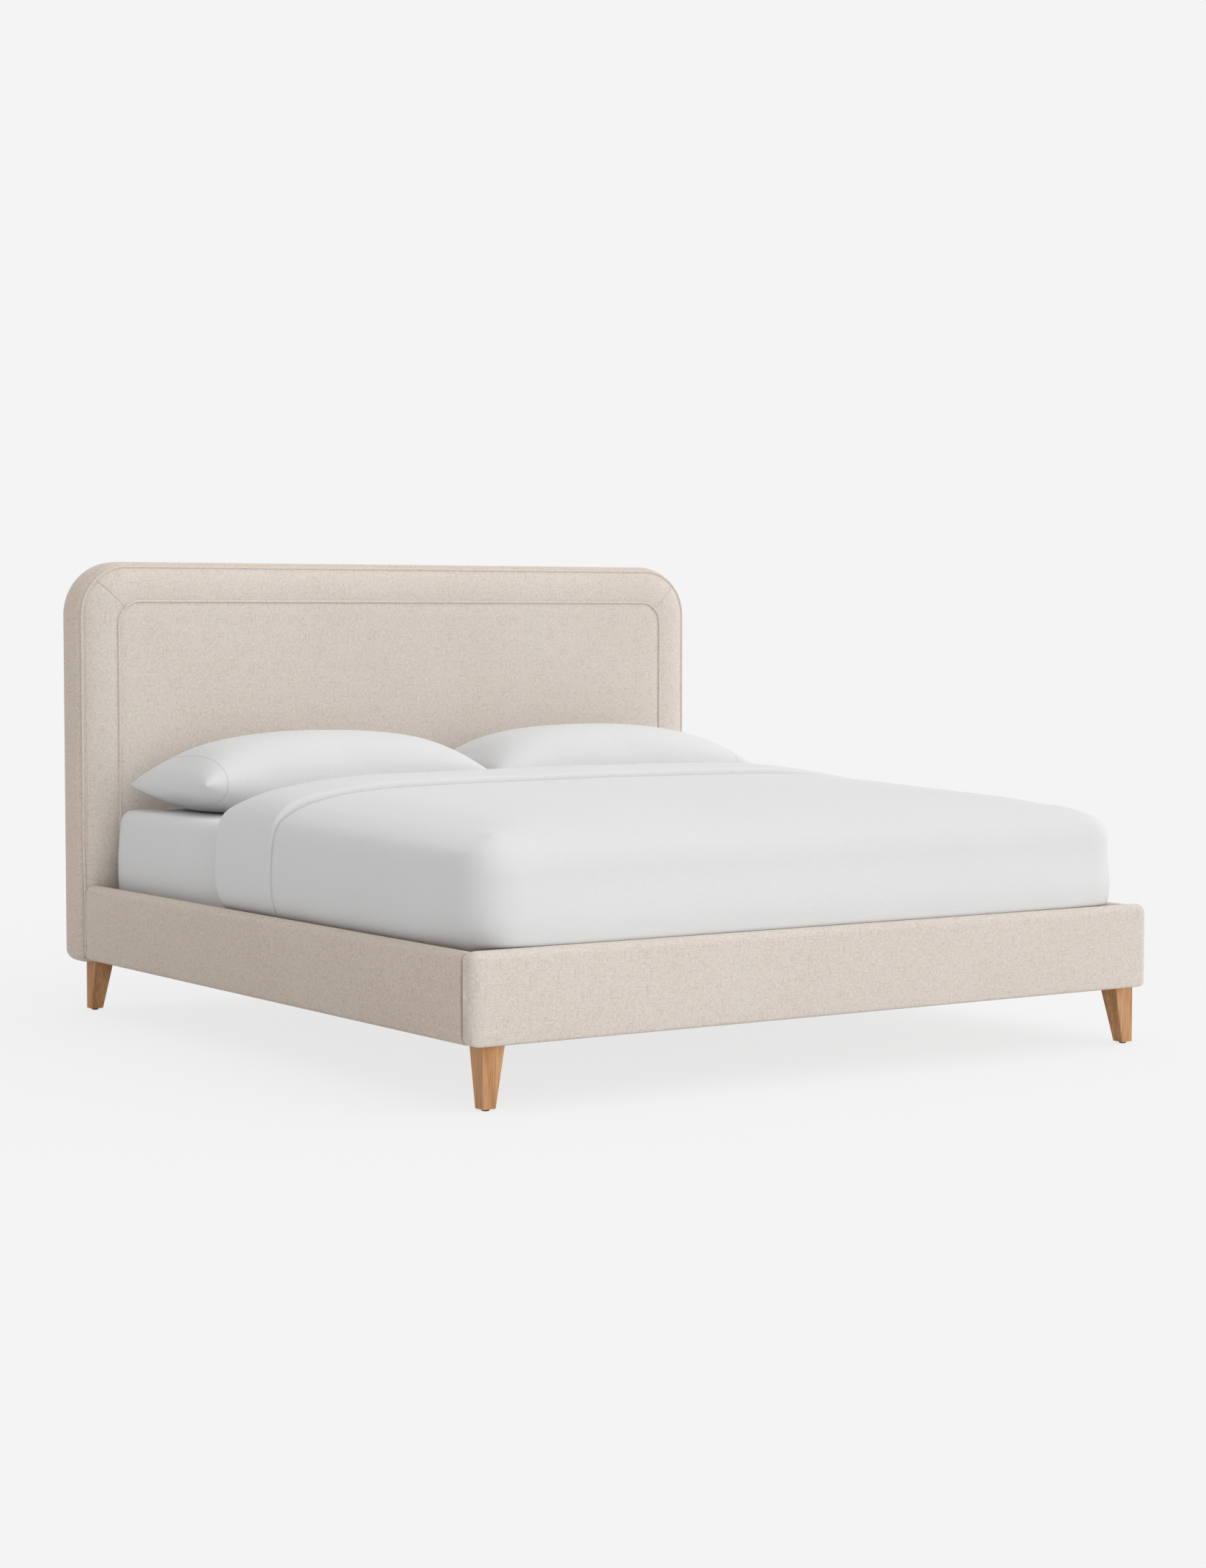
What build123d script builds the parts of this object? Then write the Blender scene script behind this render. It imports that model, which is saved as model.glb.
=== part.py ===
"""King-size upholstered platform bed: bordered headboard, padded rails, slatted base, mattress and bedding."""

import os

from build123d import *

# Overall sizes, in millimetres
frame_width = 2060.0  # over the side rails
frame_length = 2084.0  # headboard face to footboard face
headboard_half_width = 1027.0  # to the outer welt
headboard_top = 1253.0  # height of the top welt
headboard_depth = 128.0
headboard_crown = 12.0  # how far the side band swells past the outer welt

# Heights above the floor
frame_bottom = 149.0
rail_top = 362.0
slat_top = 298.0
mattress_top = 569.0
duvet_top = 679.0  # middle of the bed, at the fold
turn_down_top = 703.0
bedding_hem = 330.0  # lower edge of the sheets and the duvet, inside the rails

# Headboard border
side_border = 104.0
top_border = 98.0
outer_corner = 138.0
inner_corner = 65.0
bottom_corner = 20.0
welt_radius = 4.0
welt_room = 0.2  # clearance between a welt and the cloth beside it

# Layers of the upholstery and the headboard
cloth = 2.0
front_foam = 26.0
panel_thickness = 12.0
post_width = 90.0
top_rail_height = 90.0
bottom_rail_height = 140.0
corner_block_width = 150.0

# Side rails and footboard
rail_thickness = 40.0
rail_gap = 3.0  # between a rail's end and the headboard
rail_board = 18.0
rail_top_foam = 10.0
rail_bottom_foam = 6.0
rail_corner_radii = (18.0, 14.0, 13.0, 12.0)  # top outer, top inner, bottom outer, bottom inner
rail_end_radius = 10.0
cover_opening = (172.0, 300.0)  # heights between which the cover leaves the board bare inside

# Legs and glides
leg_top = 60.0
leg_foot = 35.0
leg_side_inset = 37.0
foot_leg_inset = 15.0
head_leg_reach = 77.0  # headboard face to the head leg's outer face
leg_edge = 2.5
glide_height = 5.0
glide_radius = 9.0
nail_radius = 1.5
nail_depth = 12.0
bolt_radius = 4.0
bolt_room = 0.05
leg_bolt_span = (105.0, 190.0)
corner_block = 70.0
corner_block_top = 236.0

# Slatted base
slat_count = 11
slat_thickness = 19.0
slat_width = 100.0
slat_room = 5.0  # between a slat's end and the rail cover
slat_first = 61.0  # footboard to the middle of the first slat
slat_last = 73.0  # headboard to the middle of the last slat
ledger_width = 27.0
ledger_height = 38.0
cross_rail_gap = 13.0  # headboard face to the cross rail
cross_rail_thickness = 20.0
beam_width = 38.0
beam_height = 89.0
webbing_width = 25.0
webbing_thickness = 1.2
webbing_offset = 500.0

# Centre legs, measured along the bed from the headboard face
centre_leg_places = {"head": 450.0, "middle": 1080.0}
centre_leg_width = 45.0
centre_leg_bottom = 32.0
stud_radius = 5.0
stud_room = 0.06
stud_top = 60.0
stud_bore_top = 85.0
leveller_radius = 20.0
leveller_thickness = 8.0
leveller_nut_radius = 9.0
leveller_nut_top = 13.0

# Steel brackets
bracket_thickness = 3.0
bracket_leg = 59.5
bracket_reach = 79.0
bracket_span = (180.0, 272.0)
bracket_bolt_x = 962.0
bracket_bolt_heights = (200.0, 252.0)
bracket_bolt_length = 66.0
bolt_head_radius = 7.0
bolt_head_height = 5.0
hanger_thickness = 2.0
hanger_plate = 4.0
hanger_half_width = 45.0
hanger_reach = 50.0
hanger_span = (186.0, 262.0)

# Mattress and bedding
mattress_half_width = 957.0
mattress_length = 1990.0
mattress_gap = 25.0  # headboard face to the mattress
mattress_corner = 85.0
mattress_edge = 30.0
rest_gap = 0.3  # between a piece that lifts off and what it rests on
sheet_hem = 330.0
bedding_half_width = 984.0
duvet_corner = 110.0
duvet_fall = 0.03  # drop of the duvet towards the foot, for each millimetre of its length
turn_down_start = 730.0  # headboard face to the turned-down sheet
turn_down_end = 1055.0
duvet_foot_gap = 6.0
pillow_length = 905.0
pillow_width = 500.0
pillow_height = 215.0
pillow_gap = 50.0  # headboard face to the pillows
pillow_side = 15.0  # half the space between the two pillows

# Half sections of the bedding: distance from the middle, and drop below the top
duvet_section = (
    (0, 0),
    (300, 2),
    (500, 4),
    (670, 9),
    (758, 16),
    (810, 23),
    (884, 39),
    (946, 65),
    (972, 91),
    (bedding_half_width, 134),
)
turn_down_section = (
    (0, 0),
    (300, 2),
    (500, 4),
    (734, 14),
    (800, 22),
    (870, 34),
    (930, 54),
    (965, 84),
    (bedding_half_width, 140),
)
turn_down_rise = ((0, 134), (12, 88), (38, 52), (75, 24), (120, 7), (160, 1), (240, 4), (300, 12), (325, 22))

# Half sections of a pillow: distance from the middle as a share of the half size, and height
pillow_crown = ((0, 215), (0.36, 211), (0.66, 183), (0.88, 133), (1, 82))
pillow_base = ((0.88, 36), (0.66, 9), (0.4, 0))

# Places that follow from the sizes above
back_y = (frame_length + headboard_depth) / 2
face_y = back_y - headboard_depth
foot_y = -back_y
pad_y = face_y + cloth
panel_y = pad_y + front_foam
post_y = panel_y + panel_thickness
post_back_y = back_y - cloth
foot_inner_y = foot_y + rail_thickness
rail_head_y = face_y - rail_gap
rail_outer_x = frame_width / 2
rail_inner_x = rail_outer_x - rail_thickness
board_x = rail_inner_x + cloth
slat_bottom = slat_top - slat_thickness
inner_half_width = headboard_half_width - side_border
inner_top = headboard_top - top_border
welt_space = welt_radius + welt_room
cross_rail_y = face_y - cross_rail_gap - cross_rail_thickness
beam_bottom = slat_bottom - beam_height
sheet_top = mattress_top + cloth
mattress_head_y = face_y - mattress_gap

os.makedirs("parts", exist_ok=True)


def keep(piece, name):
    """Label a finished piece and write it."""
    piece.label = name
    export_step(piece, f"parts/{name}.step")


def keep_pair(piece, name):
    """Write a right-hand piece and its left-hand mirror image."""
    keep(piece, f"right_{name}")
    keep(mirror(piece, about=Plane.YZ), f"left_{name}")


def front_plane(y):
    """An upright plane across the bed at y, with its sketch axes along X and Z."""
    return Plane.XZ.offset(-y)


def slab(x_span, y_span, z_span):
    """A plain box between two corners."""
    with BuildPart() as box:
        with BuildSketch(Plane.XY.offset(z_span[0])):
            with Locations(((x_span[0] + x_span[1]) / 2, (y_span[0] + y_span[1]) / 2)):
                Rectangle(x_span[1] - x_span[0], y_span[1] - y_span[0])
        extrude(amount=z_span[1] - z_span[0])
    return box.part


def headboard_slab(grow, y_span, half_width=headboard_half_width, top=headboard_top, corner=outer_corner):
    """The headboard's outline, grown at its sides and top, between two depths."""
    with BuildPart() as board:
        with BuildSketch(front_plane(y_span[0])):
            with Locations((0, (frame_bottom + top + grow) / 2)):
                Rectangle(2 * (half_width + grow), top + grow - frame_bottom)
            fillet(vertices().group_by(Axis.Y)[-1], corner + grow)
            fillet(vertices().group_by(Axis.Y)[0], bottom_corner + max(grow, 0))
        extrude(amount=y_span[0] - y_span[1])
    return board.part


def inner_slab(grow, y_span):
    """The centre panel's outline, an upright with two rounded top corners, between two depths."""
    with BuildPart() as board:
        with BuildSketch(front_plane(y_span[0])):
            with Locations((0, (frame_bottom + inner_top + grow) / 2)):
                Rectangle(2 * (inner_half_width + grow), inner_top + grow - frame_bottom)
            fillet(vertices().group_by(Axis.Y)[-1], inner_corner + grow)
        extrude(amount=y_span[0] - y_span[1])
    return board.part


def crowned_slab(grow, y_span, edge):
    """The headboard's outline with its front and back edges rounded."""
    with BuildPart() as board:
        add(headboard_slab(grow, y_span))
        ends = faces().sort_by(Axis.Y)
        fillet(ends[0].edges() + ends[-1].edges(), edge)
    return board.part


def welt(half_width, top, corner, bottom, radius):
    """A round cord that runs up one side, across the top and down the other."""
    with BuildPart() as cord:
        with BuildLine(front_plane(pad_y)) as path:
            FilletPolyline(
                (-half_width, bottom),
                (-half_width, top),
                (half_width, top),
                (half_width, bottom),
                radius=corner,
            )
        with BuildSketch(Plane(origin=path.line @ 0, z_dir=path.line % 0)):
            Circle(radius)
        sweep()
    return cord.part


def drilled(piece, places, radius, y_span):
    """A piece with round holes along Y at the given X and Z places."""
    with BuildPart() as result:
        add(piece)
        with BuildSketch(front_plane(y_span[0])):
            with Locations(*places):
                Circle(radius)
        extrude(amount=y_span[0] - y_span[1], mode=Mode.SUBTRACT)
    return result.part


def cut(piece, *tools):
    """A piece with other solids taken out of it."""
    with BuildPart() as result:
        add(piece)
        for tool in tools:
            add(tool, mode=Mode.SUBTRACT)
    return result.part


def common(piece, tool):
    """What two solids share."""
    with BuildPart() as result:
        add(piece)
        add(tool, mode=Mode.INTERSECT)
    return result.part


def upright(radius, place, z_span):
    """An upright round bar."""
    with BuildPart() as bar:
        with BuildSketch(Plane.XY.offset(z_span[0])):
            with Locations(place):
                Circle(radius)
        extrude(amount=z_span[1] - z_span[0])
    return bar.part


# Headboard posts, rails and corner blocks
bolt_places = [(side * bracket_bolt_x, z) for side in (-1, 1) for z in bracket_bolt_heights]
bolt_hole = bolt_radius + bolt_room
bolt_y = (face_y - rail_gap - bracket_thickness - 2, face_y + bracket_bolt_length)
frame_block = headboard_slab(0, (post_y, post_back_y))
post_top = headboard_top - outer_corner
post_inner_x = headboard_half_width - post_width
block_inner_x = headboard_half_width - corner_block_width
head_leg_y = face_y + head_leg_reach - leg_top
head_bolt_place = (rail_outer_x - leg_side_inset - leg_top / 2, (post_y + face_y + head_leg_reach) / 2)
head_bolt = upright(bolt_hole, head_bolt_place, leg_bolt_span)

post_room = slab((post_inner_x, headboard_half_width), (post_y, post_back_y), (frame_bottom, post_top))
post = drilled(common(frame_block, post_room), bolt_places, bolt_hole, bolt_y)
keep_pair(cut(post, head_bolt), "headboard_post")

top_rail_room = slab(
    (-block_inner_x, block_inner_x),
    (post_y, post_back_y),
    (headboard_top - top_rail_height, headboard_top),
)
keep(common(frame_block, top_rail_room), "headboard_top_rail")

bottom_rail_room = slab(
    (-post_inner_x, post_inner_x),
    (post_y, post_back_y),
    (frame_bottom, frame_bottom + bottom_rail_height),
)
keep(common(frame_block, bottom_rail_room), "headboard_bottom_rail")

block_room = slab((block_inner_x, headboard_half_width), (post_y, post_back_y), (post_top, headboard_top))
with BuildPart() as corner_blocks:
    add(common(frame_block, block_room))
    mirror(about=Plane.YZ)
keep(corner_blocks.part, "headboard_corner_blocks")

# Headboard panel, foam and back cover
face_panel = drilled(headboard_slab(0, (panel_y, post_y)), bolt_places, bolt_hole, bolt_y)
keep(face_panel, "headboard_face_panel")

inner_welt_channel = welt(inner_half_width, inner_top, inner_corner, frame_bottom - 1, welt_space)
front_pad = cut(headboard_slab(-welt_space, (pad_y, panel_y)), inner_welt_channel)
keep(drilled(front_pad, bolt_places, bolt_hole, bolt_y), "headboard_front_pad")

keep(headboard_slab(-1, (post_back_y, back_y)), "headboard_back_cover")

# Headboard side band: foam and cloth
core = headboard_slab(0, (face_y - 1, back_y + 1))
welt_lip = headboard_slab(welt_space, (face_y - 1, face_y + welt_radius + cloth + 1))
hem_room = slab((-frame_width, frame_width), (face_y - 1, back_y + 1), (0, frame_bottom + cloth + 1))
band_foam = crowned_slab(headboard_crown - cloth, (face_y + 1, back_y - 1), headboard_crown - cloth - 0.1)
band_skin = crowned_slab(headboard_crown, (face_y, back_y), headboard_crown - 0.1)
keep(cut(band_foam, core, welt_lip, hem_room), "headboard_edge_pad")
keep(cut(band_skin, band_foam, core, welt_lip, hem_room), "headboard_boxing")

# Headboard covers and welts
keep(inner_slab(-welt_space, (face_y, pad_y)), "headboard_centre_cover")

border = cut(
    drilled(headboard_slab(-welt_space, (face_y, pad_y)), bolt_places, bolt_hole, bolt_y),
    inner_slab(welt_space, (face_y - 1, pad_y + 1)),
    slab(
        (-inner_half_width, inner_half_width),
        (face_y - 1, pad_y + 1),
        (0, frame_bottom + 2 * bottom_corner),
    ),
)
mitre_slope = top_border / side_border
mitre_far = headboard_half_width + 2 * side_border
mitre_near = headboard_half_width - 2 * side_border
mitre_high = headboard_top + mitre_slope * 2 * side_border
mitre_low = headboard_top - mitre_slope * 2 * side_border
with BuildPart() as side_strip:
    with BuildSketch(front_plane(face_y)):
        with BuildLine():
            Polyline(
                (mitre_near, 0),
                (mitre_far, 0),
                (mitre_far, mitre_high),
                (mitre_near, mitre_low),
                close=True,
            )
        make_face()
    extrude(amount=-cloth)
right_strip = common(border, side_strip.part)
left_strip = mirror(right_strip, about=Plane.YZ)
top_strip = cut(border, side_strip.part, mirror(side_strip.part, about=Plane.YZ))
strips = [left_strip.solid(), top_strip.solid(), right_strip.solid()]
keep(Compound(children=strips), "headboard_border_cover")

welt_foot = frame_bottom + bottom_corner + welt_radius
outer_welt = welt(headboard_half_width, headboard_top, outer_corner, welt_foot, welt_radius)
keep(outer_welt, "headboard_outer_welt")
keep(welt(inner_half_width, inner_top, inner_corner, frame_bottom, welt_radius), "headboard_inner_welt")


# Side rails
def rail_bar(inset):
    """The right rail's upholstered shape, drawn in by an inset on every side."""
    top_outer, top_inner, bottom_outer, bottom_inner = (r - inset for r in rail_corner_radii)
    with BuildPart() as bar:
        with BuildSketch(front_plane(rail_head_y - inset)):
            with Locations(((rail_inner_x + rail_outer_x) / 2, (frame_bottom + rail_top) / 2)):
                Rectangle(rail_thickness - 2 * inset, rail_top - frame_bottom - 2 * inset)
            high = vertices().group_by(Axis.Y)[-1].sort_by(Axis.X)
            low = vertices().group_by(Axis.Y)[0].sort_by(Axis.X)
            fillet(high[-1], top_outer)
            fillet(high[0], top_inner)
            fillet(low[-1], bottom_outer)
            fillet(low[0], bottom_inner)
        extrude(amount=rail_head_y - foot_inner_y - rail_gap / 2 - 2 * inset)
        fillet(faces().sort_by(Axis.Y)[-1].edges(), rail_end_radius - inset)
    return bar.part


board_bottom = frame_bottom + cloth + rail_bottom_foam
board_top = rail_top - cloth - rail_top_foam
side_board = slab(
    (board_x, board_x + rail_board),
    (foot_inner_y + 2 * cloth, rail_head_y - rail_end_radius),
    (board_bottom, board_top),
)
side_opening = slab(
    (rail_inner_x - 1, board_x),
    (foot_inner_y + 3 * cloth, rail_head_y - 2 * rail_end_radius),
    cover_opening,
)
keep_pair(side_board, "rail_board")
keep_pair(cut(rail_bar(cloth), side_board), "rail_pad")
keep_pair(cut(rail_bar(0), rail_bar(cloth), side_opening), "rail_cover")

bracket_y = face_y - 1 - bracket_reach
ledger = slab(
    (board_x - ledger_width, board_x),
    (foot_inner_y + 4 * cloth, bracket_y - rail_gap),
    (slat_bottom - ledger_height, slat_bottom),
)
keep_pair(ledger, "slat_ledger")


# Footboard
def foot_bar(inset):
    """The footboard's upholstered shape, drawn in by an inset on every side."""
    top_outer, top_inner, bottom_outer, bottom_inner = (r - inset for r in rail_corner_radii)
    with BuildPart() as bar:
        with BuildSketch(Plane.YZ):
            with Locations(((foot_y + foot_inner_y) / 2, (frame_bottom + rail_top) / 2)):
                Rectangle(rail_thickness - 2 * inset, rail_top - frame_bottom - 2 * inset)
            high = vertices().group_by(Axis.Y)[-1].sort_by(Axis.X)
            low = vertices().group_by(Axis.Y)[0].sort_by(Axis.X)
            fillet(high[0], top_outer)
            fillet(high[-1], top_inner)
            fillet(low[0], bottom_outer)
            fillet(low[-1], bottom_inner)
        extrude(amount=rail_outer_x - inset, both=True)
        ends = faces().sort_by(Axis.X)
        fillet(ends[0].edges() + ends[-1].edges(), rail_end_radius - inset)
    return bar.part


foot_board_x = rail_outer_x - 2 * rail_end_radius
foot_board = slab(
    (-foot_board_x, foot_board_x),
    (foot_inner_y - cloth - rail_board, foot_inner_y - cloth),
    (board_bottom, board_top),
)
foot_opening = slab(
    (-rail_inner_x + slat_room, rail_inner_x - slat_room),
    (foot_inner_y - cloth, foot_inner_y + 1),
    cover_opening,
)
keep(foot_board, "footboard_board")
keep(cut(foot_bar(cloth), foot_board), "footboard_pad")
keep(cut(foot_bar(0), foot_bar(cloth), foot_opening), "footboard_cover")

# Corner blocks that take the foot legs
leg_outer_x = rail_outer_x - leg_side_inset
foot_leg_y = foot_y + foot_leg_inset
foot_bolt_place = (leg_outer_x - leg_top / 2 + nail_radius, foot_inner_y + corner_block / 4)
foot_bolt = upright(bolt_hole, foot_bolt_place, leg_bolt_span)
foot_block = slab(
    (rail_inner_x - corner_block, rail_inner_x - 0.5),
    (foot_inner_y + 0.5, foot_inner_y + corner_block),
    (frame_bottom, corner_block_top),
)
with BuildPart() as foot_blocks:
    add(cut(foot_block, foot_bolt))
    mirror(about=Plane.YZ)
keep(foot_blocks.part, "foot_corner_blocks")


# Legs: the two outer faces stand upright and the two inner faces taper
def leg(outer_y, inward, bolt):
    """A right-hand leg whose upright faces are at the leg's outer X and at outer_y."""
    with BuildPart() as post_leg:
        for height, width in ((glide_height, leg_foot), (frame_bottom, leg_top)):
            with BuildSketch(Plane.XY.offset(height)):
                with Locations((leg_outer_x - width / 2, outer_y + inward * width / 2)):
                    Rectangle(width, width)
        loft()
        upright_edges = edges().filter_by(lambda edge: edge.length > 2 * leg_top)
        fillet(upright_edges, leg_edge)
        add(bolt, mode=Mode.SUBTRACT)
        add(
            upright(nail_radius, glide_place(outer_y, inward), (0, glide_height + nail_depth)),
            mode=Mode.SUBTRACT,
        )
    return post_leg.part


def glide_place(outer_y, inward):
    """The middle of a leg's foot."""
    return (leg_outer_x - leg_foot / 2, outer_y + inward * leg_foot / 2)


def glide(outer_y, inward):
    """A round nail-on glide under a leg."""
    place = glide_place(outer_y, inward)
    with BuildPart() as disc:
        add(upright(glide_radius, place, (0, glide_height)))
        fillet(edges().sort_by(Axis.Z)[0], glide_height / 4)
        add(upright(nail_radius, place, (glide_height / 2, glide_height + nail_depth)))
    return disc.part


head_leg_outer_y = head_leg_y + leg_top
keep_pair(leg(foot_leg_y, 1, foot_bolt), "foot_leg")
keep_pair(leg(head_leg_outer_y, -1, head_bolt), "head_leg")

with BuildPart() as glides:
    add(glide(foot_leg_y, 1))
    add(glide(head_leg_outer_y, -1))
    mirror(about=Plane.YZ)
keep(glides.part, "leg_glides")

with BuildPart() as hanger_bolts:
    for place in (foot_bolt_place, head_bolt_place):
        add(upright(bolt_radius, place, leg_bolt_span))
    mirror(about=Plane.YZ)
keep(hanger_bolts.part, "leg_hanger_bolts")

# Angle brackets and bolts between the rails and the headboard
flange_x = rail_inner_x - 0.5
flange_y = (face_y - 1 - bracket_thickness, face_y - 1)
with BuildPart() as right_bracket:
    add(slab((flange_x - bracket_thickness, flange_x), (bracket_y, flange_y[1]), bracket_span))
    add(slab((flange_x - bracket_leg, flange_x), flange_y, bracket_span))
bracket = drilled(right_bracket.part, bolt_places, bolt_hole, (flange_y[0] - 1, flange_y[1] + 1))
with BuildPart() as brackets:
    add(bracket)
    mirror(about=Plane.YZ)
keep(brackets.part, "rail_brackets")

with BuildPart() as bracket_bolts:
    with BuildSketch(front_plane(flange_y[0])):
        with Locations(*bolt_places):
            Circle(bolt_radius)
    extrude(amount=-bracket_bolt_length)
    with BuildSketch(front_plane(flange_y[0])):
        with Locations(*bolt_places):
            RegularPolygon(bolt_head_radius, 6)
    extrude(amount=bolt_head_height)
keep(bracket_bolts.part, "bracket_bolts")

# Head cross rail, centre beam and its hangers
cross_half_width = rail_inner_x - slat_room
cross_rail = slab(
    (-cross_half_width, cross_half_width),
    (cross_rail_y, cross_rail_y + cross_rail_thickness),
    (cover_opening[0], slat_bottom),
)
keep(cross_rail, "head_cross_rail")

hanger_foot_y = foot_inner_y - cloth
beam_ends = (hanger_foot_y + hanger_plate + 1, cross_rail_y - hanger_plate - 1)
beam = slab((-beam_width / 2, beam_width / 2), beam_ends, (beam_bottom, slat_bottom))
keep(beam, "centre_beam")


def beam_hanger(wall_y, inward):
    """A steel cradle on a wall that takes one end of the centre beam."""
    plate = sorted((wall_y, wall_y + inward * hanger_plate))
    cradle = sorted((wall_y, wall_y + inward * hanger_reach))
    half = beam_width / 2 + hanger_thickness
    with BuildPart() as hanger:
        add(slab((-half, half), cradle, (beam_bottom - hanger_thickness, hanger_span[1])))
        add(
            slab((-beam_width / 2, beam_width / 2), cradle, (beam_bottom, slat_bottom)),
            mode=Mode.SUBTRACT,
        )
        add(slab((-hanger_half_width, hanger_half_width), plate, hanger_span))
    return hanger.part


with BuildPart() as hangers:
    add(beam_hanger(hanger_foot_y, 1))
    add(beam_hanger(cross_rail_y, -1))
keep(hangers.part, "beam_hangers")

# Centre legs and their screw levellers
for where, reach in centre_leg_places.items():
    place_y = face_y - reach
    half = centre_leg_width / 2
    bore = upright(stud_radius + stud_room, (0, place_y), (0, stud_bore_top))
    support = slab((-half, half), (place_y - half, place_y + half), (centre_leg_bottom, beam_bottom))
    keep(cut(support, bore), f"centre_leg_{where}")
    with BuildPart() as leveller:
        add(upright(leveller_radius, (0, place_y), (0, leveller_thickness)))
        fillet(edges().group_by(Axis.Z)[-1], leveller_thickness / 4)
        with BuildSketch(Plane.XY.offset(leveller_thickness)):
            with Locations((0, place_y)):
                RegularPolygon(leveller_nut_radius, 6)
        extrude(amount=leveller_nut_top - leveller_thickness)
        add(upright(stud_radius, (0, place_y), (leveller_thickness, stud_top)))
    keep(leveller.part, f"leveller_{where}")

# Slats and the webbing that spaces them
first_y = foot_inner_y + slat_first
slat_pitch = (face_y - slat_last - first_y) / (slat_count - 1)
slat_half_length = rail_inner_x - slat_room
for index in range(slat_count):
    middle = first_y + index * slat_pitch
    slat = slab(
        (-slat_half_length, slat_half_length),
        (middle - slat_width / 2, middle + slat_width / 2),
        (slat_bottom, slat_top),
    )
    keep(slat, f"slat_{index + 1:02d}")

strap_ends = (first_y - slat_width / 2, face_y - slat_last - slat_width / 2)
strap = slab(
    (webbing_offset - webbing_width / 2, webbing_offset + webbing_width / 2),
    strap_ends,
    (slat_bottom - webbing_thickness, slat_bottom),
)
with BuildPart() as webbing:
    add(strap)
    mirror(about=Plane.YZ)
keep(webbing.part, "slat_webbing")


# Mattress and bedding
def soft_block(half_width, y_span, z_span, corner):
    """A block with rounded upright corners."""
    with BuildPart() as block:
        with BuildSketch(Plane.XY.offset(z_span[0])):
            with Locations((0, (y_span[0] + y_span[1]) / 2)):
                RectangleRounded(2 * half_width, y_span[1] - y_span[0], corner)
        extrude(amount=z_span[1] - z_span[0])
    return block.part


mattress_span = (mattress_head_y - mattress_length, mattress_head_y)
with BuildPart() as mattress:
    add(soft_block(mattress_half_width, mattress_span, (slat_top + rest_gap, mattress_top), mattress_corner))
    ends = faces().sort_by(Axis.Z)
    fillet(ends[0].edges() + ends[-1].edges(), mattress_edge)
keep(mattress.part, "mattress")

sheet_span = (mattress_span[0] - cloth, mattress_span[1] + cloth)
with BuildPart() as sheet_form:
    add(
        soft_block(
            mattress_half_width + cloth,
            sheet_span,
            (sheet_hem, sheet_top),
            mattress_corner + cloth,
        )
    )
    fillet(faces().sort_by(Axis.Z)[-1].edges(), mattress_edge + cloth)
keep(cut(sheet_form.part, mattress.part), "fitted_sheet")


def domed_form(section, top, y_span, fall=0.0):
    """A form with a domed top across the bed, between two ends."""
    right = [(x, top - drop) for x, drop in section]
    left = [(-x, z) for x, z in right[:0:-1]]
    low = bedding_hem - 2 * rail_thickness
    with BuildPart() as form:
        with BuildSketch(Plane(origin=(0, y_span[1], 0), x_dir=(1, 0, 0), z_dir=(0, -1, -fall))):
            with BuildLine():
                Spline(*left, *right)
                Polyline(right[-1], (right[-1][0], low), (left[0][0], low), left[0])
            make_face()
        extrude(amount=2 * (y_span[1] - y_span[0]))
    return form.part


def side_form(rim, y_span, top):
    """A form across the bed, whose top follows a line seen from the side."""
    with BuildPart() as form:
        with BuildSketch(Plane.YZ):
            with BuildLine():
                Spline(*rim)
                Polyline(rim[-1], (y_span[1], top), (y_span[1], bedding_hem), (y_span[0], bedding_hem), rim[0])
            make_face()
        extrude(amount=2 * bedding_half_width, both=True)
    return form.part


turn_down_span = (face_y - turn_down_end, face_y - turn_down_start)
turn_down_line = [(turn_down_span[1] - along, turn_down_top - drop) for along, drop in turn_down_rise]
with BuildPart() as turn_down_side:
    with BuildSketch(Plane.YZ):
        with BuildLine():
            Spline(*turn_down_line)
            Polyline(
                turn_down_line[-1],
                (turn_down_span[0], bedding_hem),
                (turn_down_span[1], bedding_hem),
                turn_down_line[0],
            )
        make_face()
    extrude(amount=2 * bedding_half_width, both=True)
with BuildPart() as turn_down:
    add(domed_form(turn_down_section, turn_down_top, turn_down_span))
    add(turn_down_side.part, mode=Mode.INTERSECT)
    add(sheet_form.part, mode=Mode.SUBTRACT)
keep(turn_down.part, "top_sheet")

duvet_span = (foot_inner_y + duvet_foot_gap, turn_down_span[0] - 1)
duvet_line = []
for x, drop in duvet_section[:0:-1]:
    y = duvet_span[0] + bedding_half_width - x
    duvet_line.append((y, duvet_top - drop - duvet_fall * (duvet_span[1] - y)))
with BuildPart() as duvet_plan:
    with BuildSketch(Plane.XY.offset(bedding_hem)):
        with Locations((0, (duvet_span[0] + duvet_span[1]) / 2)):
            Rectangle(2 * bedding_half_width + cloth, duvet_span[1] - duvet_span[0])
        fillet(vertices().group_by(Axis.Y)[0], duvet_corner)
    extrude(amount=duvet_top - bedding_hem + cloth)
with BuildPart() as duvet:
    add(domed_form(duvet_section, duvet_top, duvet_span, duvet_fall))
    add(duvet_plan.part, mode=Mode.INTERSECT)
    add(side_form(duvet_line, duvet_span, duvet_top + cloth), mode=Mode.INTERSECT)
    add(sheet_form.part, mode=Mode.SUBTRACT)
keep(duvet.part, "duvet")


def pillow_outline(middle, half, spare):
    """Points round a pillow's section, from its flat base up one side, over the top and down the other."""
    side = [(share, z) for share, z in pillow_base[::-1]] + [(share, z) for share, z in pillow_crown[::-1]]
    other = [(-share, z) for share, z in side[-2::-1]]
    floor = sheet_top + rest_gap
    stretch = 1 + 3 * spare / pillow_height
    return [(middle + share * half, floor - spare + z * stretch) for share, z in side + other]


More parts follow.
